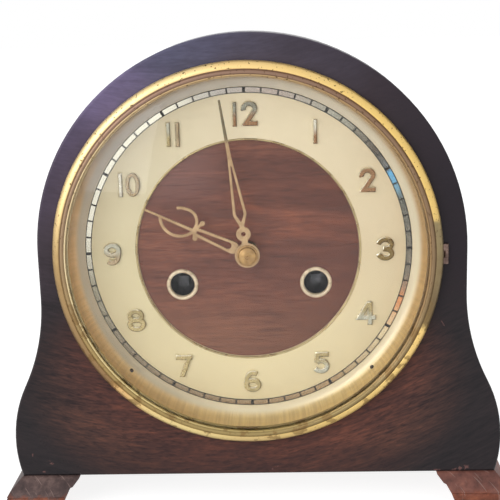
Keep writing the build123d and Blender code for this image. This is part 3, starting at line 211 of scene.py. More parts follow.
    def relief(self, height, depth, strength):
        """Fine relief after a pattern, with its depth in metres."""
        node = self.tree.nodes.new("ShaderNodeBump")
        node.inputs["Strength"].default_value = strength
        node.inputs["Distance"].default_value = depth
        self.feed(node.inputs["Height"], height)
        self.set("Normal", node.outputs["Normal"])

    def dress(self, *pieces):
        """Give this finish to carried-over pieces by their names, or to new objects."""
        for piece in pieces:
            mesh = (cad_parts[piece] if isinstance(piece, str) else piece).data
            mesh.materials.clear()
            mesh.materials.append(self.material)


veneer = Finish("panel_veneer", specular=0.16)
across, away, up = veneer.axes()
sag = veneer.math("MULTIPLY", veneer.math("POWER", veneer.math("ADD", across, 0.03), 2), 2.2)
bowed = veneer.joined(across, away, veneer.math("SUBTRACT", up, sag))
broad = veneer.cloud((11, 30, 75), detail=4, distortion=0.6, place=bowed)
streaks = veneer.cloud((60, 40, 400), detail=3, roughness=0.65, distortion=0.4, place=bowed)
fibres = veneer.cloud((210, 60, 1000), detail=2, roughness=0.6, place=bowed)
grain = veneer.mixed((broad, 0.32), (streaks, 0.36), (fibres, 0.32))
pores = veneer.between(veneer.cloud((260, 90, 1100), detail=1, place=bowed), 0.32, 0.42)
wood = veneer.shades(
    grain, (0.36, (50, 37, 38)), (0.46, (78, 56, 52)), (0.54, (98, 67, 58)), (0.64, (126, 82, 68))
)
from_dial, turn = veneer.about_dial()
flame = veneer.shades(grain, (0.38, (64, 42, 41)), (0.50, (100, 61, 55)), (0.64, (140, 82, 67)))
glow = veneer.between(from_dial, 0.110, 0.086)
wood = veneer.blend(veneer.math("MULTIPLY", glow, 0.5), wood, flame)
wood = veneer.blend(veneer.between(pores, 0.0, 1.0, 0.4, 0.0), wood, srgb(40, 30, 32))
wide = veneer.math("POWER", veneer.math("DIVIDE", veneer.math("ADD", across, 0.004), 0.098), 2)
tall = veneer.math("POWER", veneer.math("DIVIDE", veneer.math("SUBTRACT", up, 0.055), 0.065), 2)
from_middle = veneer.math("SQRT", veneer.math("ADD", wide, tall))
wood = veneer.blend(veneer.between(up, 0.036, 0.018, 0.0, 0.5), wood, srgb(58, 42, 43))
stained = veneer.shades(grain, (0.38, (36, 33, 36)), (0.64, (54, 47, 49)))
wood = veneer.blend(veneer.between(from_middle, 0.70, 1.04), wood, stained)
# Painted sheen: over the arch the colour is bright purple at the upper left and dark towards the right, by
# the turn about the dial.
arch_sheen_wobble = veneer.between(veneer.cloud((40, 40, 40), detail=4), 0.2, 0.8, -0.02, 0.02)
arch_sheen_turn = veneer.math("ADD", turn, arch_sheen_wobble)
arch_sheen = veneer.shades(
    arch_sheen_turn, (0.20, (58, 49, 54)), (0.26, (70, 61, 69)), (0.32, (86, 75, 94)), (0.39, (124, 111, 146)),
    (0.45, (98, 97, 122)), (0.51, (86, 80, 95)), (0.60, (62, 53, 60)), (0.70, (42, 36, 42)),
    (0.80, (46, 38, 42)),
)
arch_sheen_edge = veneer.between(grain, 0.38, 0.64, -0.012, 0.012)
arch_sheen = veneer.blend(veneer.between(grain, 0.38, 0.64, 0.35, 0.0), arch_sheen, srgb(46, 40, 47))
wood = veneer.blend(veneer.between(veneer.math("ADD", up, arch_sheen_edge), 0.074, 0.118), wood, arch_sheen)
ragged = veneer.between(veneer.cloud((700, 700, 700), detail=3), 0.46, 0.56)
bruises = (  # place right of the middle and above the floor, length, width, and lean in degrees
    (-0.1009, 0.0239, 0.0020, 0.0005, 70), (-0.0925, 0.0210, 0.0018, 0.0009, -25),
    (-0.096, 0.0165, 0.0016, 0.0006, 10), (0.0819, 0.0833, 0.0018, 0.0003, -60),
    (0.0081, 0.0175, 0.0022, 0.0008, 35), (0.0905, 0.0160, 0.0048, 0.0016, 14),
    (0.079, 0.0150, 0.0030, 0.0010, 10),
)
for bruise in bruises:
    scuffed = veneer.math("MULTIPLY", veneer.mark(*bruise), ragged)
    wood = veneer.blend(veneer.math("MULTIPLY", scuffed, 0.7), wood, srgb(128, 92, 88))
veneer.set("Base Color", wood)
veneer.set("Roughness", veneer.between(veneer.cloud((30, 30, 30), detail=5), 0.3, 0.7, 0.26, 0.42))
veneer.relief(pores, 0.00008, 0.35)
veneer.dress("front_panel")

# Case shell
# Thin plywood bent round the arch and the hollow sides, glued behind the panel and veneered to match it.
shell_veneer = Finish("shell_veneer", specular=0.2)
streaks = shell_veneer.cloud((70, 8, 70), detail=8, roughness=0.62, distortion=0.3)
pores = shell_veneer.between(shell_veneer.cloud((900, 90, 900), detail=2), 0.35, 0.45)
wood = shell_veneer.shades(streaks, (0.30, (46, 34, 35)), (0.50, (72, 50, 47)), (0.70, (100, 64, 55)))
wood = shell_veneer.blend(shell_veneer.between(pores, 0.0, 1.0, 0.4, 0.0), wood, srgb(36, 28, 30))
rubbed = shell_veneer.between(shell_veneer.cloud((25, 25, 25), detail=4), 0.55, 0.75, 0.0, 0.35)
shell_veneer.set("Base Color", shell_veneer.blend(rubbed, wood, srgb(94, 74, 72)))
shell_veneer.set("Roughness", shell_veneer.between(streaks, 0.3, 0.7, 0.3, 0.46))
shell_veneer.relief(pores, 0.00008, 0.35)
shell_veneer.dress("case_shell")

# Base board, back panel and back door
# Stained birch plywood, let into the shell from behind and never polished.


def plywood(name, along, across, up, *pieces):
    """Stained plywood, its grain drawn out along the axis with the fewest repeats per metre."""
    finish = Finish(name, specular=0.25)
    streaks = finish.cloud((along, across, up), detail=8, roughness=0.62, distortion=0.5)
    flecks = finish.between(finish.cloud((10 * along, 10 * across, 10 * up), detail=2), 0.34, 0.42)
    ply = finish.shades(streaks, (0.30, (86, 60, 42)), (0.50, (118, 84, 58)), (0.72, (150, 112, 78)))
    ply = finish.blend(finish.between(flecks, 0.0, 1.0, 0.4, 0.0), ply, srgb(66, 46, 34))
    finish.set("Base Color", ply)
    finish.set("Roughness", finish.between(streaks, 0.3, 0.7, 0.5, 0.7))
    finish.relief(flecks, 0.0001, 0.4)
    finish.dress(*pieces)


plywood("back_ply", 90, 90, 8, "back_panel", "back_door")
plywood("base_ply", 8, 90, 90, "base_board")

# Feet
# Two moulded hardwood runners, glued on under the sides.
# Their slopes are scratched, and their fronts are worn orange.  The left foot is painted greyer and darker
# than the right, as painted sheen on its slope and painted shade under the panel.


def made(name, shape, smooth=40):
    """Object of a finished shape, smooth except across edges sharper than an angle in degrees."""
    mesh = bpy.data.meshes.new(name)
    shape.to_mesh(mesh)
    shape.free()
    mesh.shade_smooth()
    mesh.set_sharp_from_angle(angle=radians(smooth))
    piece = bpy.data.objects.new(name, mesh)
    bpy.context.scene.collection.objects.link(piece)
    return piece


def walls(shape, rings, closed=False):
    """Faces between neighbouring rings of points, closed to a loop or filled at both ends."""
    for near, far in zip(rings, rings[1:] + rings[:1] if closed else rings[1:]):
        for corner in range(len(near)):
            shape.faces.new((near[corner - 1], near[corner], far[corner], far[corner - 1]))
    if not closed:
        shape.faces.new(rings[0])
        shape.faces.new(rings[-1][::-1])


def outwards(shape):
    """Turn every face to the outside."""
    bmesh.ops.recalc_face_normals(shape, faces=shape.faces)


def rounded(shape, edges, width, segments):
    """Round some edges by a width in millimetres."""
    bmesh.ops.bevel(
        shape, geom=edges, offset=width * mm, segments=segments, profile=0.5, affect="EDGES",
        clamp_overlap=True,
    )


def moulded_foot(name, node, side):
    """Foot that spreads from under the panel, with a quirk below its slope and a shaped inner end."""
    low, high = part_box(node)
    inner, outer = (low.x, high.x) if side > 0 else (high.x, low.x)
    height = (high.z - low.z) / mm
    levels = []
    for step in range(foot_steps + 1):
        share = step / foot_steps
        levels.append((foot_slope * share, slope_flat * share + (1 - slope_flat) * sin(pi / 2 * share)))
    levels += [(foot_slope + drop, swept) for drop, swept in quirk_levels]
    levels += [(height - foot_edge, 1), (height, foot_quirk)]
    shape = bmesh.new()
    rings = []
    for drop, swept in levels:
        for (above, start), (below, end) in zip(foot_end, foot_end[1:]):
            if above <= drop <= below:
                lean = start + (end - start) * (drop - above) / (below - above)
        near = inner + side * lean * mm
        far = outer - side * foot_splay * (1 - swept) * mm
        front = low.y + foot_forward * (1 - swept) * mm
        corners = ((near, front), (far, front), (far, high.y), (near, high.y))
        rings.append([shape.verts.new((x, y, high.z - drop * mm)) for x, y in corners])
    walls(shape, rings)
    outwards(shape)
    arrises = [edge for edge in shape.edges if edge.calc_face_angle() > radians(50)]
    rounded(shape, arrises, foot_arris, 2)
    return made(name, shape)


foot_slope, foot_splay, foot_forward, slope_flat = 7.0, 6.0, 7.0, 0.65
foot_quirk, foot_edge, foot_arris, foot_steps = 0.95, 0.5, 0.35, 20
quirk_levels = ((0.15, foot_quirk), (0.55, foot_quirk), (0.75, 1))
foot_end = ((0, 0), (0.7, 0.1), (3.5, 2.7), (3.85, 3.7), (7.0, 5.7), (15.0, 9.0))
foot_wood = Finish("foot_wood", specular=0.25)
across, away, up = foot_wood.axes()
streaks = foot_wood.cloud((110, 12, 160), detail=8, roughness=0.66, distortion=0.5)
grime = foot_wood.cloud((240, 240, 240), detail=5, roughness=0.7)
grain = foot_wood.mixed((streaks, 0.6), (grime, 0.4))
# Painted sheen and shade: the greyer, darker colours go to the left foot, the redder ones to the right.
dark = foot_wood.shades(grain, (0.36, (52, 42, 42)), (0.50, (84, 67, 65)), (0.64, (120, 98, 93)))
red = foot_wood.shades(grain, (0.36, (88, 56, 50)), (0.50, (118, 76, 67)), (0.64, (146, 96, 82)))
wood = foot_wood.blend(foot_wood.between(across, -0.03, 0.03), dark, red)
front = foot_wood.shades(grain, (0.36, (74, 46, 40)), (0.50, (132, 76, 58)), (0.64, (168, 102, 76)))
worn = foot_wood.math("ADD", foot_wood.between(grime, 0.3, 0.7, -0.0016, 0.0016), up)
wood = foot_wood.blend(foot_wood.between(worn, 0.0088, 0.0066), wood, front)
slant = foot_wood.joined(foot_wood.math("ADD", across, away), foot_wood.math("SUBTRACT", across, away), up)
lines = foot_wood.cloud((900, 70, 60), detail=1, distortion=0.5, place=slant)
scratches = foot_wood.between(lines, 0.67, 0.71)
wood = foot_wood.blend(foot_wood.math("MULTIPLY", scratches, 0.5), wood, srgb(158, 134, 126))
foot_wood.set("Base Color", wood)
foot_wood.set("Roughness", foot_wood.between(grain, 0.35, 0.65, 0.4, 0.58))
foot_wood.relief(grain, 0.0002, 0.4)
for node, side in (("foot_left", -1), ("foot_right", 1)):
    foot = moulded_foot(node + "_moulding", node, side)
    foot_wood.dress(foot)
    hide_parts(node)
    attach(foot, "case")

# Door hinges, knob and screws
# Pressed brass butts on steel pins, and a turned brass knob.
# Slotted steel screws hold the butts and the back panel.


def mottled(
    name, repeats, dark, light, rough, metallic=0.0, specular=0.5, detail=5, grit=0.5, spread=0.18,
    relief=None,
):
    """Finish with one cloudy pattern that goes from dark to light, and changes the roughness with it."""
    finish = Finish(name, metallic=metallic, specular=specular)
    pattern = finish.cloud(repeats, detail, grit)
    finish.set("Base Color", finish.shades(pattern, (0.5 - spread, dark), (0.5 + spread, light)))
    finish.set("Roughness", finish.between(pattern, 0.3, 0.7, *rough))
    if relief:
        finish.relief(pattern, *relief)
    return finish


def slotted_screw(name, place, slant):
    """Raised screw head facing the back: two half rounds beside a slot, on a thin disc."""
    shape = bmesh.new()
    turn = Matrix.Translation(place) @ Matrix.Rotation(radians(slant), 4, "Y")
    gap = asin(screw_slot / 2 / screw_radius)
    rim = [gap + (pi - 2 * gap) * step / half_steps for step in range(half_steps + 1)]
    disc = [pi * step / half_steps for step in range(2 * half_steps)]
    for angles, levels in (
        (rim, head_levels), ([pi + angle for angle in rim], head_levels), (disc, disc_levels),
    ):
        rings = []
        for reach, height in levels:
            spread = reach * screw_radius
            spots = [Vector((cos(angle) * spread, height, sin(angle) * spread)) for angle in angles]
            rings.append([shape.verts.new(turn @ (spot * mm)) for spot in spots])
        walls(shape, rings)
    outwards(shape)
    return made(name, shape)


hardware_brass = mottled(
    "hardware_brass", (220, 220, 220), (142, 110, 64), (190, 154, 94), (0.5, 0.26), metallic=1.0, detail=6,
    grit=0.6, relief=(0.00006, 0.3),
)
hardware_brass.dress("door_hinge_leaves", "door_hinge_flaps", "door_knob")
screw_steel = mottled(
    "screw_steel", (700, 700, 700), (86, 84, 82), (146, 143, 138), (0.46, 0.3), metallic=0.9, detail=4
)
screw_radius, screw_head, screw_slot, screw_sink, half_steps = 2.0, 0.8, 0.6, 0.2, 14
head_levels = ((1.0, -screw_sink), (1.0, 0.45 * screw_head), (0.8, screw_head))
disc_levels = ((0.95, -screw_sink), (0.95, 0.1 * screw_head))
leaf_sheet, leaf_screws, leaf_inset, flap_inset = 0.8, (3.5, 12.5), 3.6, 4.2
leaf_low, leaf_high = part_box("door_hinge_leaves")
screw_heights = [leaf_low.z + up * mm for up in leaf_screws]
screw_heights += [leaf_high.z - down * mm for down in reversed(leaf_screws)]
for body, x, face in (
    ("case", leaf_high.x - leaf_inset * mm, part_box("back_panel")[1].y),
    ("back_door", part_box("door_hinge_flaps")[0].x + flap_inset * mm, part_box("back_door")[1].y),
):
    for count, z in enumerate(screw_heights):
        place = Vector((x, face + leaf_sheet * mm, z))
        screw = slotted_screw("hinge_screw_%s_%d" % (body, count), place, 35 + 50 * count)
        screw_steel.dress(screw)
        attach(screw, body)
panel_low, panel_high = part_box("back_panel")
screw_edge, screw_foot = 6.5, 12.0
screw_ring = panel_high.z - dial_axis.z - screw_edge * mm
bearings = [radians(bearing) for bearing in (-75, -25, 25, 75)]
places = [dial_axis + Vector((sin(bearing), 0, cos(bearing))) * screw_ring for bearing in bearings]
for x in (panel_low.x + screw_foot * mm, panel_high.x - screw_foot * mm):
    places.append(Vector((x, 0, panel_low.z + screw_foot * mm)))
for count, place in enumerate(places):
    screw = slotted_screw("panel_screw_%d" % count, Vector((place.x, panel_high.y, place.z)), 20 + 65 * count)
    screw_steel.dress(screw)
    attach(screw, "case")

# Movement plates, wheels and bob
# Plates and wheels cut from rolled brass, a turned bob and the hammers, brushed and a little tarnished.
# The pillars hold the plates apart, and the wheels turn between them on their pivots.
movement_brass = Finish("movement_brass", metallic=1.0)
brushed = movement_brass.cloud((900, 900, 40), detail=2)
tarnish = movement_brass.cloud((60, 60, 60), detail=4, roughness=0.5)
clean = movement_brass.shades(tarnish, (0.30, (176, 142, 86)), (0.70, (206, 172, 110)))
brass = movement_brass.blend(movement_brass.between(brushed, 0.3, 0.7, 0.3, 0.0), clean, srgb(150, 118, 68))
movement_brass.set("Base Color", brass)
movement_brass.set("Roughness", movement_brass.between(brushed, 0.3, 0.7, 0.24, 0.42))
movement_brass.relief(brushed, 0.00003, 0.3)
movement_brass.dress(
    "front_plate", "back_plate", "cannon_pinion", "minute_wheel", "hour_wheel", "going_barrel",
    "strike_barrel", "intermediate_wheel", "centre_wheel", "third_wheel", "fourth_wheel", "escape_wheel",
    "strike_second_wheel", "pin_wheel", "warning_wheel", "fly", "pendulum_bob", "rating_nut", "pendulum_cock",
    "hammers",
)

# Movement steel
# Pillars, posts, springs, clicks and gong rods of bright drawn steel.
# The pillars and studs are riveted into the plates, and the posts hold the dial.
movement_steel = mottled(
    "movement_steel", (400, 60, 400), (122, 122, 126), (160, 160, 164), (0.42, 0.22), metallic=1.0, grit=0.6,
    relief=(0.00003, 0.3),
)
movement_steel.dress(
    "dial_posts", "plate_pillars", "minute_stud", "click_studs", "going_mainspring", "strike_mainspring",
    "going_click", "strike_click", "anchor", "suspension_spring", "pendulum_rod",
    "door_hinge_pins", "gong_rods",
)

# Winding arbors
# Forged steel arbors through the barrels, each with a square for the key and a ratchet wheel.
# Their steel is painted almost black, as painted shade deep in the holes for the key.
arbor_steel_painted_shade = mottled(
    "arbor_steel_painted_shade", (300, 120, 300), (44, 44, 47), (92, 92, 95), (0.5, 0.34), metallic=0.6, grit=0.6,
    relief=(0.00004, 0.3),
)
arbor_steel_painted_shade.dress("going_winding_arbor", "strike_winding_arbor")

# Gong block
# Sand-cast iron with drawn-in sides, painted black.  A brass nut holds each gong rod in it.


def cast_block(name, node):
    """Casting whose sides draw in towards the top, with its edges rounded."""
    low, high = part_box(node)
    shape = bmesh.new()
    rings = []
    for z, inset in ((low.z, 0), (high.z, cast_draft * mm)):
        left, right, front, back = low.x + inset, high.x - inset, low.y + inset, high.y - inset
        corners = ((left, front), (right, front), (right, back), (left, back))
        rings.append([shape.verts.new((x, y, z)) for x, y in corners])
    walls(shape, rings)
    outwards(shape)
    rounded(shape, shape.edges[:], cast_edge, 4)
    return made(name, shape)


def rod_nut(name, place):
    """Six-sided nut about a rod along X, its outer corners taken off."""
    shape = bmesh.new()
    rings = []
    for along, reach in nut_levels:
        corners = [(reach * cos(radians(turn)), reach * sin(radians(turn))) for turn in range(0, 360, 60)]
        rings.append([shape.verts.new(place + Vector((along, y, z)) * mm) for y, z in corners])
    walls(shape, rings)
    outwards(shape)
    return made(name, shape, 20)


cast_draft, cast_edge, nut_reach, nut_length, nut_sink, nut_corner = 1.4, 1.2, 2.7, 2.6, 1.0, 0.5
nut_levels = (
    (-nut_sink, nut_reach), (nut_length - nut_corner, nut_reach), (nut_length, nut_reach - nut_corner)
)
cast_iron = mottled(
    "cast_iron", (900, 900, 900), (40, 40, 42), (68, 68, 70), (0.55, 0.8), specular=0.3, grit=0.6, spread=0.2,
    relief=(0.0003, 0.6),
)
casting = cast_block("gong_casting", "gong_block")
cast_iron.dress(casting)
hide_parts("gong_block")
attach(casting, "case")
rods_low, rods_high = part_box("gong_rods")
rod_radius = (rods_high.z - rods_low.z) / 2
for name, depth in (("gong_nut_front", rods_low.y + rod_radius), ("gong_nut_back", rods_high.y - rod_radius)):
    nut = rod_nut(name, Vector((rods_low.x, depth, rods_low.z + rod_radius)))
    hardware_brass.dress(nut)
    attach(nut, "case")

# Dial plate
# Pressed sheet with a satin champagne chapter and a hollow polished rim that turns out under the bezel.
# Posts behind it hold it to the movement.
chapter_edge, hollow_foot = 71.4, 71.6
champagne = Finish("dial_champagne", metallic=0.15, specular=0.4)
from_dial, turn = champagne.about_dial()
mottle = champagne.cloud((45, 45, 45), detail=5)
# Painted light and shade: the chapter's colour changes with its turn about the axis, brightest at the top and
# bottom and darkest at the left.
satin_with_painted_light = champagne.shades(
    turn, (0.00, (240, 223, 176)), (0.12, (234, 219, 174)), (0.25, (222, 209, 168)),
    (0.38, (228, 216, 182)), (0.50, (244, 229, 194)), (0.60, (240, 224, 188)), (0.75, (232, 213, 174)),
    (0.88, (240, 223, 178)), (1.00, (240, 223, 176)),
)
satin_with_painted_light = champagne.blend(champagne.between(mottle, 0.35, 0.65, 0.0, 0.16), satin_with_painted_light, srgb(214, 196, 152))
spun = champagne.joined(champagne.math("MULTIPLY", turn, 2 * pi * chapter_edge * mm), from_dial, 0.0)
brushed = champagne.cloud((900, 60, 1), detail=4, roughness=0.6, place=spun)
clouds = champagne.cloud((70, 70, 70), detail=4)
rim_reflection_turn = champagne.math("ADD", turn, champagne.between(clouds, 0.3, 0.7, -0.02, 0.02))
# Painted reflections: the hollow of the rim changes between cream, tan and grey with its turn about the axis.
hollow_reflection = champagne.shades(
    rim_reflection_turn, (0.00, (240, 226, 190)), (0.13, (190, 176, 146)), (0.25, (186, 170, 142)),
    (0.36, (172, 162, 148)), (0.45, (194, 184, 168)), (0.55, (214, 202, 178)), (0.70, (228, 216, 184)),
    (0.88, (244, 228, 190)), (1.00, (240, 226, 190)),
)
# Painted reflections: the wall of the rim changes between gold, tan and grey with its turn about the axis.
wall = champagne.shades(
    rim_reflection_turn, (0.00, (248, 222, 158)), (0.13, (236, 200, 138)), (0.25, (236, 194, 138)),
    (0.36, (176, 160, 142)), (0.50, (198, 182, 162)), (0.62, (208, 186, 152)), (0.74, (224, 184, 124)),
    (0.88, (244, 216, 150)), (1.00, (248, 222, 158)),
)
wall = champagne.blend(champagne.between(brushed, 0.35, 0.65, 0.35, 0.0), wall, srgb(196, 162, 110))
rim = champagne.blend(champagne.between(from_dial, 0.0738, 0.0762), hollow_reflection, wall)
past_edge = champagne.between(from_dial, chapter_edge * mm, hollow_foot * mm)
champagne.set("Base Color", champagne.blend(past_edge, satin_with_painted_light, rim))
champagne.set("Metallic", champagne.between(from_dial, chapter_edge * mm, hollow_foot * mm, 0.1, 0.35))
champagne.set("Roughness", champagne.between(from_dial, chapter_edge * mm, hollow_foot * mm, 0.45, 0.38))
champagne.dress("dial_plate")

# Centre ring and rim nails
# A thin gilt bead pressed round the opening in the chapter.
# Two small iron nails, low in the rim, are driven through it into the case.


def turned(name, outline, steps=256, centre=dial_axis):
    """Solid made by turning a closed outline of radius and depth in millimetres about an axis along Y."""
    shape = bmesh.new()
    rings = []
    for step in range(steps):
        angle = 2 * pi * step / steps
        side, rise = sin(angle) * mm, cos(angle) * mm
        rings.append([
            shape.verts.new((centre.x + reach * side, centre.y + depth * mm, centre.z + reach * rise))
            for reach, depth in outline
        ])
    walls(shape, rings, closed=True)
    bmesh.ops.remove_doubles(shape, verts=shape.verts, dist=0.0005 * mm)
    bmesh.ops.dissolve_degenerate(shape, edges=shape.edges, dist=0.0005 * mm)
    outwards(shape)
    return made(name, shape)


def bow(start, middle, end, steps):
    """Points along the arc through three points."""
    (ax, ay), (bx, by), (cx, cy) = start, middle, end
    twice = 2 * (ax * (by - cy) + bx * (cy - ay) + cx * (ay - by))
    a2, b2, c2 = ax * ax + ay * ay, bx * bx + by * by, cx * cx + cy * cy
    centre = Vector((
        (a2 * (by - cy) + b2 * (cy - ay) + c2 * (ay - by)) / twice,
        (a2 * (cx - bx) + b2 * (ax - cx) + c2 * (bx - ax)) / twice,
    ))
    points = []
    for first, last in ((start, middle), (middle, end)):
        spoke = Vector(first) - centre
        swing = spoke.angle_signed(Vector(last) - centre)
        for step in range(steps):
            points.append(tuple(centre + Matrix.Rotation(-swing * step / steps, 2) @ spoke))
    return points + [tuple(end)]


gilt_bead = mottled(
    "gilt_bead", (180, 180, 180), (158, 136, 96), (204, 186, 138), (0.22, 0.4), metallic=0.8
)
bead_inner, bead_outer, bead_height = 48.5, 49.4, 0.28
bead_middle = ((bead_inner + bead_outer) / 2, dial_depth - bead_height)
outline = bow((bead_inner, dial_depth + 0.4), bead_middle, (bead_outer, dial_depth + 0.05), 6)
outline += [(bead_outer, dial_depth + 0.2), (bead_inner, dial_depth + 0.6)]
centre_ring = turned("centre_ring", outline)
gilt_bead.dress(centre_ring)
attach(centre_ring, "case")
nail_iron = mottled(
    "nail_iron", (900, 900, 900), (46, 38, 32), (92, 74, 56), (0.5, 0.7), metallic=0.5, detail=4
)
nail_ring, nail_depth, nail_radius = 75.7, 9.7, 0.95
nail_outline = bow((0, -0.34), (0.6 * nail_radius, -0.24), (nail_radius, 0.0), 4)
nail_outline += [(nail_radius, 0.3), (0, 0.3)]
for bearing in (135, 225):
    nail = turned("dial_nail_%d" % bearing, nail_outline, 24, Vector((0, 0, 0)))
    out = Vector((sin(radians(bearing)), 0, cos(radians(bearing))))
    tilt = Vector((0, -1, 0)).rotation_difference(Vector((0, -1, 0)) - out)
    seat = dial_axis + (out * nail_ring + Vector((0, nail_depth, 0))) * mm
    nail.data.transform(Matrix.Translation(seat) @ tilt.to_matrix().to_4x4())
    nail_iron.dress(nail)
    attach(nail, "case")

# Minute track
# A polished ring let in at the edge of the chapter, with sixty bright bars between dark printed lines.
track_inner, track_outer, track_line = 68.6, 71.35, 0.38
minute_line, hour_line = 0.72, 1.25
printed = mottled(
    "printed_black", (500, 500, 500), (34, 33, 30), (56, 53, 47), (0.4, 0.6), specular=0.3, detail=4,
    spread=0.2,
)
print_front, print_back = dial_depth - 0.05, dial_depth + 0.2
outline = [
    (track_inner, print_back), (track_inner, print_front),
    (track_outer, print_front), (track_outer, print_back),
]
track_print = turned("minute_track_print", outline, steps=240)
printed.dress(track_print)
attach(track_print, "case")
bars = bmesh.new()
bar_front, bar_parts = dial_depth - 0.11, 4
for minute in range(60):
    start, end = minute * 6, (minute + 1) * 6
    start_line, end_line = [hour_line if at % 5 == 0 else minute_line for at in (minute, minute + 1)]
    corners = []
    for part in range(bar_parts + 1):
        along = part / bar_parts
        angle = radians(start + (end - start) * along)
        pulled = start_line / 2 * (1 - along) - end_line / 2 * along
        for reach in (track_inner + track_line, track_outer - track_line):
            bearing = angle + pulled / reach
            corners.append((reach * sin(bearing), reach * cos(bearing)))
    tops = [bars.verts.new(dial_axis + Vector((x, bar_front, z)) * mm) for x, z in corners]
    feet = [bars.verts.new((top.co.x, panel_face + dial_depth * mm, top.co.z)) for top in tops]
    for part in range(bar_parts):
        low, high, far_high, far_low = 2 * part, 2 * part + 1, 2 * part + 3, 2 * part + 2
        bars.faces.new([tops[corner] for corner in (low, high, far_high, far_low)])
        bars.faces.new([feet[corner] for corner in (far_low, far_high, high, low)])
        bars.faces.new((tops[low], tops[far_low], feet[far_low], feet[low]))
        bars.faces.new((tops[far_high], tops[high], feet[high], feet[far_high]))
    bars.faces.new((tops[1], tops[0], feet[0], feet[1]))
    bars.faces.new((tops[-2], tops[-1], feet[-1], feet[-2]))
outwards(bars)
track_bars = made("minute_track_bars", bars)
polished = Finish("polished_track", roughness=0.2, metallic=0.7)
_, turn = polished.about_dial()
track_glint_turn = polished.math("ADD", turn, polished.between(polished.cloud((160, 160, 160)), 0.2, 0.8, -0.006, 0.006))
# Painted reflections: the bars turn cream, white, blue, copper and dark with their turn about the dial.
polished.set("Base Color", polished.shades(
    track_glint_turn, (0.00, (164, 140, 108)), (0.14, (138, 126, 106)), (0.22, (150, 144, 122)), (0.27, (222, 218, 200)),
    (0.42, (246, 242, 220)), (0.47, (182, 176, 166)), (0.53, (178, 164, 152)), (0.59, (166, 164, 148)),
    (0.645, (100, 90, 78)), (0.664, (110, 112, 110)), (0.676, (104, 176, 218)), (0.686, (122, 158, 172)),
    (0.70, (104, 104, 94)), (0.78, (130, 120, 104)), (0.805, (212, 146, 98)), (0.84, (216, 198, 158)),
    (0.91, (172, 146, 110)), (1.00, (164, 140, 108)),
))
polished.dress(track_bars)
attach(track_bars, "case")

# Numbers
# Twelve plain numbers stamped from sheet in strokes of even width, with bevelled and polished edges.
# They are pinned to the chapter.  Their olive, gold, copper, silver and white, set for each number and half,
# are painted reflections, and their bevels carry a painted highlight and shade.


def oval(across, up, wide, tall, start, end):
    """Points along part of an oval, between two angles in degrees from its right side."""
    steps = round(abs(end - start) / 9)
    angles = [radians(start + (end - start) * step / steps) for step in range(steps + 1)]
    return [(across + wide * cos(angle), up + tall * sin(angle)) for angle in angles]


def stamped(shape, path, width, face, level_ends):
    """Bar of sheet along a path about the dial's axis, closed to a ring if the path ends where it starts.

    Its ends are cut square, or level where they are listed: 0 for the first end, -1 for the last.
    """
    corners = [Vector(place) for place in path]
    closed = (corners[0] - corners[-1]).length < number_bevel
    points = []
    for near, far in zip(corners, corners[1:]):
        steps = max(1, round((far - near).length / number_bevel))
        points += [near.lerp(far, step / steps) for step in range(steps)]
    if not closed:
        points.append(corners[-1])
    last, half, wall = len(points) - 1, width / 2, face + number_bevel
    rings = []
    for at, point in enumerate(points):
        before = points[at - 1] if closed or at > 0 else point
        after = points[(at + 1) % len(points)] if closed or at < last else point
        way = (after - before).normalized()
        side = Vector((-way.y, way.x))
        cut = side
        for end in level_ends:
            from_end = last - at if end else at
            level = Vector((1 if side.x > 0 else -1, 0))
            cut = cut.lerp(level, max(0, 1 - from_end / level_run))
        cut = cut / cut.dot(side)
        crest, inset = face if closed or 0 < at < last else wall, half - number_bevel
        section = (
            (-half, number_seat), (-half, wall), (-inset, crest),
            (inset, crest), (half, wall), (half, number_seat),
        )
        rings.append([
            shape.verts.new(dial_axis + Vector((point.x + cut.x * out, depth, point.y + cut.y * out)) * mm)
            for out, depth in section
        ])
    walls(shape, rings, closed)


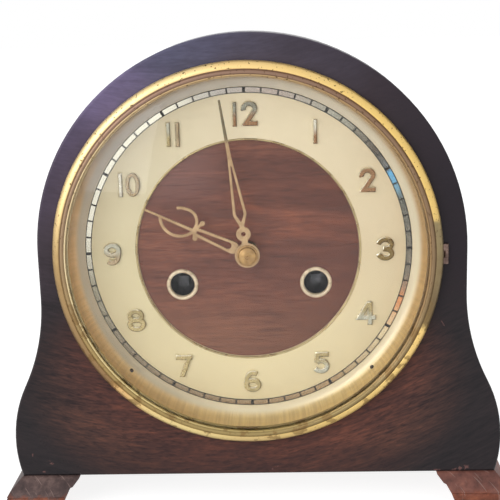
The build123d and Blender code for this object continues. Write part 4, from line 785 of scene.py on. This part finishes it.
number_front = (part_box("numerals")[0].y - panel_face) / mm
number_seat, number_bevel, number_lap, level_run = dial_depth + 0.1, 0.34, 0.02, 10
number_height, tint_change = 10.4, 3
broad, slim = 2.15, 1.75
hook = oval(0.1, -0.4, 3.7, 4.3, 58, 90) + oval(0.1, -0.4, 2.85, 4.3, 90, 180)[1:] + [(-2.75, -1.8)]
figures = {  # width of the strokes, then for each stroke its path and the ends that are cut level
    "0": (slim, (oval(0, 0, 2.3, 4.3, 0, 360), ())),
    "1": (slim, ([(0, 5.25), (0, -5.25)], ())),
    "2": (
        broad, (oval(0, 2.1, 2.45, 2.15, 200, -25) + [(-2.24, -5.2)], (-1,)),
        ([(-2.2, -4.15), (3.55, -4.15)], ()),
    ),
    "3": (
        broad,
        (oval(0, 0.85, 3.25, 3.3, 158, 90) + oval(0, 2.1, 2.7, 2.05, 90, -90)[1:] + [(-1, 0.05)], ()),
        ([(-1, -0.05)] + oval(0, -2.1, 2.75, 2.05, 90, -90) + oval(0, -0.85, 3.3, 3.3, -90, -158)[1:], ()),
    ),
    "4": (
        broad, ([(1.86, 5.25), (1.86, -5.25)], ()), ([(1.65, 5.25), (-3.3, -3)], (0, -1)),
        ([(-3.6, -1.95), (4.6, -1.95)], ()),
    ),
    "5": (
        broad, ([(-2.3, 3.95), (3.3, 3.95)], ()), ([(-1.45, 5), (-2.05, 0.2)], (0, -1)),
        (oval(0, -1.5, 2.55, 2.4, 142, -90) + oval(0, -0.8, 3.6, 3.1, -90, -143)[1:], ()),
    ),
    "6": (broad, (hook, ()), (oval(0, -1.8, 2.75, 2.15, 0, 360), ())),
    "7": (broad, ([(-3.7, 4), (3.6, 4)], ()), ([(2.6, 5.07), (-1.15, -5.05)], (0, -1))),
    "8": (broad, (oval(-0.3, 2, 2.6, 2.1, 0, 360), ()), (oval(0, -1.95, 3.1, 2.2, 0, 360), ())),
    "9": (broad, ([(-x, -z) for x, z in hook], ()), (oval(0, 1.8, 2.75, 2.15, 0, 360), ())),
}
# Painted reflection colours for the upper and lower halves of the numbers.
grey, silver, bright = (140, 138, 122), (188, 186, 166), (216, 210, 190)
copper, rose = (152, 114, 80), (174, 154, 122)
brown, bronze, olive, gold = (120, 98, 54), (134, 112, 64), (172, 155, 110), (186, 168, 120)
placed = (  # figure, place right of and above the dial's axis, painted reflection colours of its upper and lower half
    ("1", -4.2, 59.7, grey, copper), ("2", 2.1, 59.9, grey, copper), ("1", 29.9, 51.7, bright, copper),
    ("2", 51.9, 30.3, copper, copper), ("3", 59.6, -0.1, brown, bronze), ("4", 51, -29, olive, silver),
    ("5", 31.2, -51.6, olive, silver), ("6", 0.4, -59.8, gold, gold), ("7", -29.9, -52.2, gold, gold),
    ("8", -50.4, -30.6, olive, gold), ("9", -59.5, -0.3, silver, rose), ("1", -54.4, 30.3, bright, bright),
    ("0", -49.1, 30.3, rose, rose), ("1", -32.7, 51.7, silver, olive), ("1", -28.8, 51.6, rose, rose),
)
shape = bmesh.new()
reflection_tints = []
for figure, x, z, upper, lower in placed:
    width, *strokes = figures[figure]
    for count, (path, level_ends) in enumerate(strokes):
        path = [(x + across, z + up) for across, up in path]
        stamped(shape, path, width, number_front + count * number_lap, level_ends)
    for vertex in list(shape.verts)[len(reflection_tints):]:
        rise = ((vertex.co.z - dial_axis.z) / mm - z) / number_height
        share = min(1, max(0, 0.5 + tint_change * rise))
        reflection_tints.append(Vector(srgb(*lower)[:3]).lerp(Vector(srgb(*upper)[:3]), share))
outwards(shape)
numbers = made("applied_numbers", shape)
reflection_tint = numbers.data.attributes.new("reflection_tint", "FLOAT_VECTOR", "POINT")
for place, colour in zip(reflection_tint.data, reflection_tints):
    place.vector = colour
gilt = Finish("number_gilt", metallic=0.75)
reflection_tinted = gilt.tree.nodes.new("ShaderNodeAttribute")
reflection_tinted.attribute_name = "reflection_tint"
tarnish = gilt.cloud((300, 300, 300), detail=3)
face = gilt.blend(gilt.between(tarnish, 0.4, 0.7, 0, 0.25), reflection_tinted.outputs["Color"], srgb(108, 92, 64))
# Painted highlight on bevels that face the upper left, and painted shade on those that face away.
lit = gilt.facing((-0.62, -0.2, 0.76))
face = gilt.blend(gilt.between(lit, 0.30, 0.60), face, srgb(240, 232, 206))
face = gilt.blend(gilt.between(lit, 0.05, -0.35, 0, 0.55), face, srgb(96, 84, 60))
gilt.set("Base Color", face)
gilt.set("Roughness", gilt.between(tarnish, 0.3, 0.7, 0.24, 0.36))
gilt.dress(numbers)
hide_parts("numerals")
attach(numbers, "case")

# Dial centre
# A thin disc of brown wood fixed behind the opening in the chapter.
# It has a fine level grain and a redder streak across its middle.
disc_wood = Finish("dial_wood", specular=0.25)
across, _, up = disc_wood.axes(dial_axis)
broad = disc_wood.cloud((16, 40, 80), detail=3, distortion=0.5)
streaks = disc_wood.cloud((50, 40, 420), detail=3, roughness=0.65, distortion=0.3)
fibres = disc_wood.cloud((230, 60, 1300), detail=2, roughness=0.6)
grain = disc_wood.mixed((broad, 0.34), (streaks, 0.32), (fibres, 0.34))
wood = disc_wood.shades(grain, (0.32, (80, 48, 41)), (0.50, (115, 70, 56)), (0.68, (148, 94, 73)))
warm = disc_wood.shades(grain, (0.34, (92, 52, 42)), (0.50, (130, 76, 57)), (0.66, (166, 100, 72)))
band = disc_wood.math("ABSOLUTE", disc_wood.math("SUBTRACT", up, 0.014))
streak = disc_wood.between(band, 0.022, 0.004)
streak = disc_wood.math("MULTIPLY", streak, disc_wood.between(broad, 0.42, 0.58))
streak = disc_wood.math("MULTIPLY", streak, disc_wood.between(across, -0.024, 0.0, 0.25, 1.0))
wood = disc_wood.blend(streak, wood, warm)
pale = disc_wood.shades(grain, (0.32, (118, 78, 61)), (0.68, (154, 106, 80)))
wood = disc_wood.blend(disc_wood.between(up, -0.012, -0.044, 0.0, 0.7), wood, pale)
wood = disc_wood.blend(disc_wood.between(across, -0.012, 0.048, 0.0, 0.45), wood, srgb(86, 48, 38))
# Painted reflection: a pale mauve veil of the glass over the upper left of the disc.
glass_veil_reflection = disc_wood.between(across, 0.0, -0.030)
glass_veil_reflection = disc_wood.math("MULTIPLY", glass_veil_reflection, disc_wood.between(up, 0.010, 0.034))
wood = disc_wood.blend(disc_wood.math("MULTIPLY", glass_veil_reflection, 0.5), wood, srgb(150, 112, 106))
hairs = disc_wood.between(disc_wood.cloud((60, 60, 900), detail=1), 0.30, 0.42, 0.32, 0.0)
disc_wood.set("Base Color", disc_wood.blend(hairs, wood, srgb(58, 38, 36)))
disc_wood.set("Roughness", disc_wood.between(streaks, 0.3, 0.7, 0.36, 0.5))
disc_wood.dress("dial_centre")

# Winding ferrules
# Two turned brass rings with a rolled edge, lacquered cream and pressed into the holes for the key.
ferrule_cream = Finish("ferrule_cream", metallic=0.25)
lacquer = ferrule_cream.cloud((300, 300, 300), detail=5)
_, away, _ = ferrule_cream.axes((0, panel_face, 0))
shade = ferrule_cream.between(away, 0.0128, 0.0150)
pale = ferrule_cream.shades(lacquer, (0.32, (204, 182, 150)), (0.68, (232, 214, 182)))
ferrule_cream.set("Base Color", ferrule_cream.blend(shade, pale, srgb(30, 30, 32)))
ferrule_cream.set("Roughness", ferrule_cream.between(lacquer, 0.3, 0.7, 0.24, 0.38))
ferrule_low, ferrule_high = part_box("winding_ferrules")
ferrule_radius, ferrule_bore, ferrule_wall = 7.0, 5.3, 0.7
ferrule_front = (ferrule_low.y - panel_face) / mm
ferrule_back = (ferrule_high.y - panel_face) / mm
seat = ferrule_front + 0.8
roll = bow((ferrule_bore, seat), (ferrule_bore + 0.75, ferrule_front), (ferrule_radius, seat), 8)
tube = ferrule_bore + ferrule_wall
outline = roll + [(tube, seat), (tube, ferrule_back), (ferrule_bore, ferrule_back)]
rings = []
for x in (ferrule_low.x + ferrule_radius * mm, ferrule_high.x - ferrule_radius * mm):
    middle = Vector((x, panel_face, (ferrule_low.z + ferrule_high.z) / 2))
    rings.append(turned("ferrule_" + ("strike" if x < dial_axis.x else "going"), outline, 96, middle))
    ferrule_cream.dress(rings[-1])
    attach(rings[-1], "case")
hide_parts("winding_ferrules")

# Hands and nut
# Pierced brass hands with a dull lacquered face and thin bright edges, held by a domed nut.


def softened(name, node, width, steps):
    """Copy of a carried-over piece with its sharp edges rounded, to stand in for it."""
    shape = bmesh.new()
    shape.from_mesh(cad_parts[node].data)
    bmesh.ops.remove_doubles(shape, verts=shape.verts, dist=0.001 * mm)
    bmesh.ops.dissolve_limit(shape, angle_limit=radians(1), verts=shape.verts, edges=shape.edges)
    sharp = [edge for edge in shape.edges if edge.is_manifold and edge.calc_face_angle() > radians(35)]
    rounded(shape, sharp, width, steps)
    return made(name, shape)


hand_brass = Finish("hand_brass", metallic=0.5)
dulled = hand_brass.cloud((260, 260, 260), detail=5)
from_dial, _ = hand_brass.about_dial()
lacquered = hand_brass.shades(dulled, (0.32, (168, 136, 98)), (0.68, (202, 170, 128)))
# Painted reflection: past the chapter's inner edge the hands turn dark olive brown.
tip_reflection = hand_brass.shades(dulled, (0.32, (104, 92, 66)), (0.68, (132, 116, 84)))
hand_brass.set("Base Color", hand_brass.blend(hand_brass.between(from_dial, 0.047, 0.052), lacquered, tip_reflection))
hand_brass.set("Roughness", hand_brass.between(dulled, 0.3, 0.7, 0.34, 0.5))
for node, body in (("hour_hand", "hour"), ("minute_hand", "minute")):
    hand = softened(node + "_pierced", node, 0.14, 2)
    hand_brass.dress(hand)
    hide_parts(node)
    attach(hand, body)
nut_brass = mottled(
    "nut_brass", (400, 400, 400), (158, 120, 74), (202, 164, 106), (0.36, 0.52), metallic=0.6
)
nut_low, nut_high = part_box("hand_nut")
nut_radius = (nut_high.x - nut_low.x) / 2 / mm
nut_front, nut_back = (nut_low.y - panel_face) / mm, (nut_high.y - panel_face) / mm
nut_bore, pin_radius, eye_radius, washer_radius, washer = 1.2, 0.42, 0.85, 4.6, 0.5
shoulder, wall_front = nut_radius - 0.65, nut_front + 1.6
washer_front, bore_end = nut_back - washer, (nut_front + nut_back) / 2
outline = bow((0, nut_front + 0.1), (0.3, nut_front + 0.13), (pin_radius, nut_front + 0.25), 3)
outline += [(pin_radius, nut_front + 0.55), (eye_radius, nut_front + 0.55)]
outline += bow((eye_radius + 0.12, nut_front + 0.08), (2.2, nut_front + 0.3), (shoulder, nut_front + 0.75), 6)
outline += bow(
    (shoulder + 0.05, nut_front + 0.78), (nut_radius - 0.15, nut_front + 1.1), (nut_radius, wall_front), 4
)
outline += [(nut_radius, washer_front - 0.25), (nut_radius - 0.3, washer_front - 0.15)]
outline += [(nut_radius - 0.3, washer_front)]
outline += bow(
    (washer_radius - 0.2, washer_front), (washer_radius, nut_back - washer / 2),
    (washer_radius - 0.15, nut_back), 3,
)
outline += [(nut_bore, nut_back), (nut_bore, bore_end), (0, bore_end)]
nut = turned("domed_nut", outline, 96)
nut_brass.dress(nut)
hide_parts("hand_nut")
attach(nut, "minute")

# Bezel
# A spun brass ring with a plain outer band and a bead over the glass, hung on a small hinge at its right.
# The lacquer is pitted, and stained on the lower half.  The colours round the band, bead and lip are painted
# reflections, the low dark patches partly so, and the hinge is brown.
bezel_radius, band_radius, lip_radius, rebate_radius = 83.3, 80.0, 77.2, 79.3
bezel_back, band_foot, band_top, bead_top, lip_back, groove = -1.0, -1.9, -5.3, -6.0, -4.4, -4.95
band_belly, bead_crown, lip_crown = (82.35, -4.3), (78.75, bead_top), -5.42
outline = bow((bezel_radius, band_foot), band_belly, (band_radius + 0.25, band_top), 10)
outline += bow(
    (band_radius + 0.05, band_top + 0.12), (band_radius - 0.1, groove), (band_radius - 0.3, groove - 0.15), 3
)
outline += bow((band_radius - 0.35, groove - 0.25), bead_crown, (lip_radius + 0.75, -5.55), 8)
outline += bow((lip_radius + 0.6, lip_crown), (lip_radius + 0.22, lip_crown), (lip_radius, -5.05), 4)
outline += [(lip_radius, lip_back), (rebate_radius, lip_back)]
outline += [(rebate_radius, bezel_back), (bezel_radius, bezel_back)]
bezel = turned("spun_bezel", outline)
bezel_brass = Finish("bezel_brass", metallic=0.9)
from_dial, turn = bezel_brass.about_dial()
patchy = bezel_brass.cloud((90, 90, 90), detail=5, roughness=0.6)
bezel_reflection_turn = bezel_brass.math("ADD", turn, bezel_brass.between(patchy, 0.2, 0.8, -0.012, 0.012))
# Painted reflections: gold, olive and dark patches on the band, brown on the bead and cream to tan on the
# lip, by the turn about the dial.
band = bezel_brass.shades(
    bezel_reflection_turn, (0.00, (206, 180, 124)), (0.05, (224, 202, 142)), (0.105, (228, 202, 142)),
    (0.122, (216, 172, 116)), (0.136, (148, 118, 82)), (0.18, (152, 124, 87)),
    (0.25, (168, 140, 96)), (0.31, (236, 208, 150)),
    (0.40, (244, 220, 164)), (0.50, (238, 206, 142)), (0.62, (240, 206, 126)), (0.712, (232, 198, 122)),
    (0.728, (148, 132, 98)), (0.79, (124, 106, 78)), (0.808, (128, 106, 70)), (0.818, (240, 206, 132)),
    (0.93, (216, 186, 118)), (1.00, (206, 180, 124)),
)
bead_reflection = bezel_brass.shades(
    bezel_reflection_turn, (0.00, (158, 138, 92)), (0.16, (168, 144, 94)), (0.26, (150, 126, 98)), (0.40, (148, 120, 104)),
    (0.60, (140, 112, 92)), (0.76, (134, 112, 84)), (0.90, (142, 124, 86)), (1.00, (158, 138, 92)),
)
lip_reflection = bezel_brass.shades(
    bezel_reflection_turn, (0.00, (176, 156, 104)), (0.12, (220, 200, 144)), (0.25, (226, 208, 168)),
    (0.45, (198, 170, 128)), (0.65, (170, 140, 100)), (0.80, (158, 130, 94)), (1.00, (176, 156, 104)),
)
brass = bezel_brass.blend(bezel_brass.between(from_dial, 0.0799, 0.0801), bead_reflection, band)
brass = bezel_brass.blend(bezel_brass.between(from_dial, 0.0779, 0.0778), brass, lip_reflection)
_, _, up = bezel_brass.axes(dial_axis)
pits = bezel_brass.between(bezel_brass.cloud((850, 850, 850), detail=2), 0.645, 0.68)
pits = bezel_brass.math("MULTIPLY", pits, bezel_brass.between(up, -0.02, 0.05, 0.35, 0.9))
brass = bezel_brass.blend(pits, brass, srgb(84, 60, 36))
# Stains, and dark patches of painted reflection, on the lower half of the band.
stains_and_reflection_patches = bezel_brass.between(bezel_brass.cloud((130, 130, 130), detail=4, roughness=0.6), 0.54, 0.58)
stains_and_reflection_patches = bezel_brass.math("MULTIPLY", stains_and_reflection_patches, bezel_brass.between(up, 0.0, -0.03, 0.0, 0.65))
brass = bezel_brass.blend(stains_and_reflection_patches, brass, srgb(128, 98, 58))
bezel_brass.set("Base Color", brass)
bezel_brass.set("Roughness", bezel_brass.between(patchy, 0.3, 0.7, 0.40, 0.54))
bezel_brass.dress(bezel, "glass_retainer")
browned = mottled(
    "browned_brass", (300, 300, 300), (98, 76, 68), (156, 128, 116), (0.5, 0.36), metallic=0.4
)
browned.dress("bezel_hinge_leaf", "bezel_hinge_strap", "bezel_hinge_pin")
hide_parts("bezel_ring")
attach(bezel, "bezel")

# Glass
# A domed clear glass, pressed under the lip of the bezel and held by a sprung ring behind it.
glass_rim, glass_seat, glass_apex, glass_thickness, dome_steps = 79.2, -4.3, -14.8, 1.8, 30
dome_radius = (lip_radius ** 2 + (glass_seat - glass_apex) ** 2) / (2 * (glass_seat - glass_apex))
dome_depth = glass_apex + dome_radius


def dome(radius, rim):
    """Points from the axis to a rim, along a dome about the glass's centre."""
    reaches = [rim * step / dome_steps for step in range(dome_steps + 1)]
    return [(reach, dome_depth - sqrt(radius ** 2 - reach ** 2)) for reach in reaches]


glass_back = glass_seat + glass_thickness
inner_radius = dome_radius - glass_thickness
inner_rim = sqrt(inner_radius ** 2 - (dome_depth - glass_back) ** 2)
outline = dome(dome_radius, lip_radius) + [(glass_rim, glass_seat), (glass_rim, glass_back)]
outline += dome(inner_radius, inner_rim)[::-1]
glass = turned("domed_glass", outline)
clear = Finish("clear_glass", roughness=0.0)
clear.set("Base Color", (1, 1, 1, 1))
clear.set("Transmission Weight", 1.0)
clear.set("IOR", 1.25)
clear.dress(glass)
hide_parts("bezel_glass")
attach(glass, "bezel")

# Floor and light
# A pale floor that fades into a white surround, and one wide soft lamp in front at the upper left.


def seen_directly(tree):
    """1 for what the camera sees, also in metal and through glass, and 0 for light falling on the clock."""
    path = tree.nodes.new("ShaderNodeLightPath")
    total = path.outputs["Is Camera Ray"]
    for name in ("Is Glossy Ray", "Is Transmission Ray"):
        either = tree.nodes.new("ShaderNodeMath")
        either.operation = "MAXIMUM"
        tree.links.new(total, either.inputs[0])
        tree.links.new(path.outputs[name], either.inputs[1])
        total = either.outputs[0]
    return total


floor_half, floor_grey, floor_glow, surround_light = 4.0, 0.42, 0.86, 0.74
lamp_wide, lamp_tall, lamp_power = 1.9, 1.6, 26
lamp_place, lamp_aim = Vector((-1.55, -1.55, 0.95)), Vector((0, 0, 0.1))
floor_mesh = bpy.data.meshes.new("floor")
corners = [(x * floor_half, y * floor_half, 0) for x, y in ((-1, -1), (1, -1), (1, 1), (-1, 1))]
floor_mesh.from_pydata(corners, [], [(0, 1, 2, 3)])
floor = bpy.data.objects.new("floor", floor_mesh)
bpy.context.scene.collection.objects.link(floor)
paper = Finish("floor_paper", roughness=0.9, specular=0.0)
paper.set("Base Color", (floor_grey, floor_grey, floor_grey, 1))
paper.set("Emission Color", (1, 1, 1, 1))
paper.set("Emission Strength", paper.between(seen_directly(paper.tree), 0.0, 1.0, 0.0, floor_glow))
paper.dress(floor)
world = bpy.data.worlds.new("surround")
bpy.context.scene.world = world
world.use_nodes = True
background = world.node_tree.nodes["Background"]
background.inputs["Color"].default_value = (1, 1, 1, 1)
strength = world.node_tree.nodes.new("ShaderNodeMapRange")
strength.inputs["To Min"].default_value = surround_light
strength.inputs["To Max"].default_value = 1.0
world.node_tree.links.new(seen_directly(world.node_tree), strength.inputs["Value"])
world.node_tree.links.new(strength.outputs["Result"], background.inputs["Strength"])
lamp = bpy.data.objects.new("window", bpy.data.lights.new("window", "AREA"))
bpy.context.scene.collection.objects.link(lamp)
lamp.data.shape = "RECTANGLE"
lamp.data.size = lamp_wide
lamp.data.size_y = lamp_tall
lamp.data.energy = lamp_power
lamp.location = lamp_place
lamp.rotation_euler = (lamp_aim - lamp_place).to_track_quat("-Z", "Y").to_euler()
bpy.context.scene.view_settings.view_transform = "Standard"
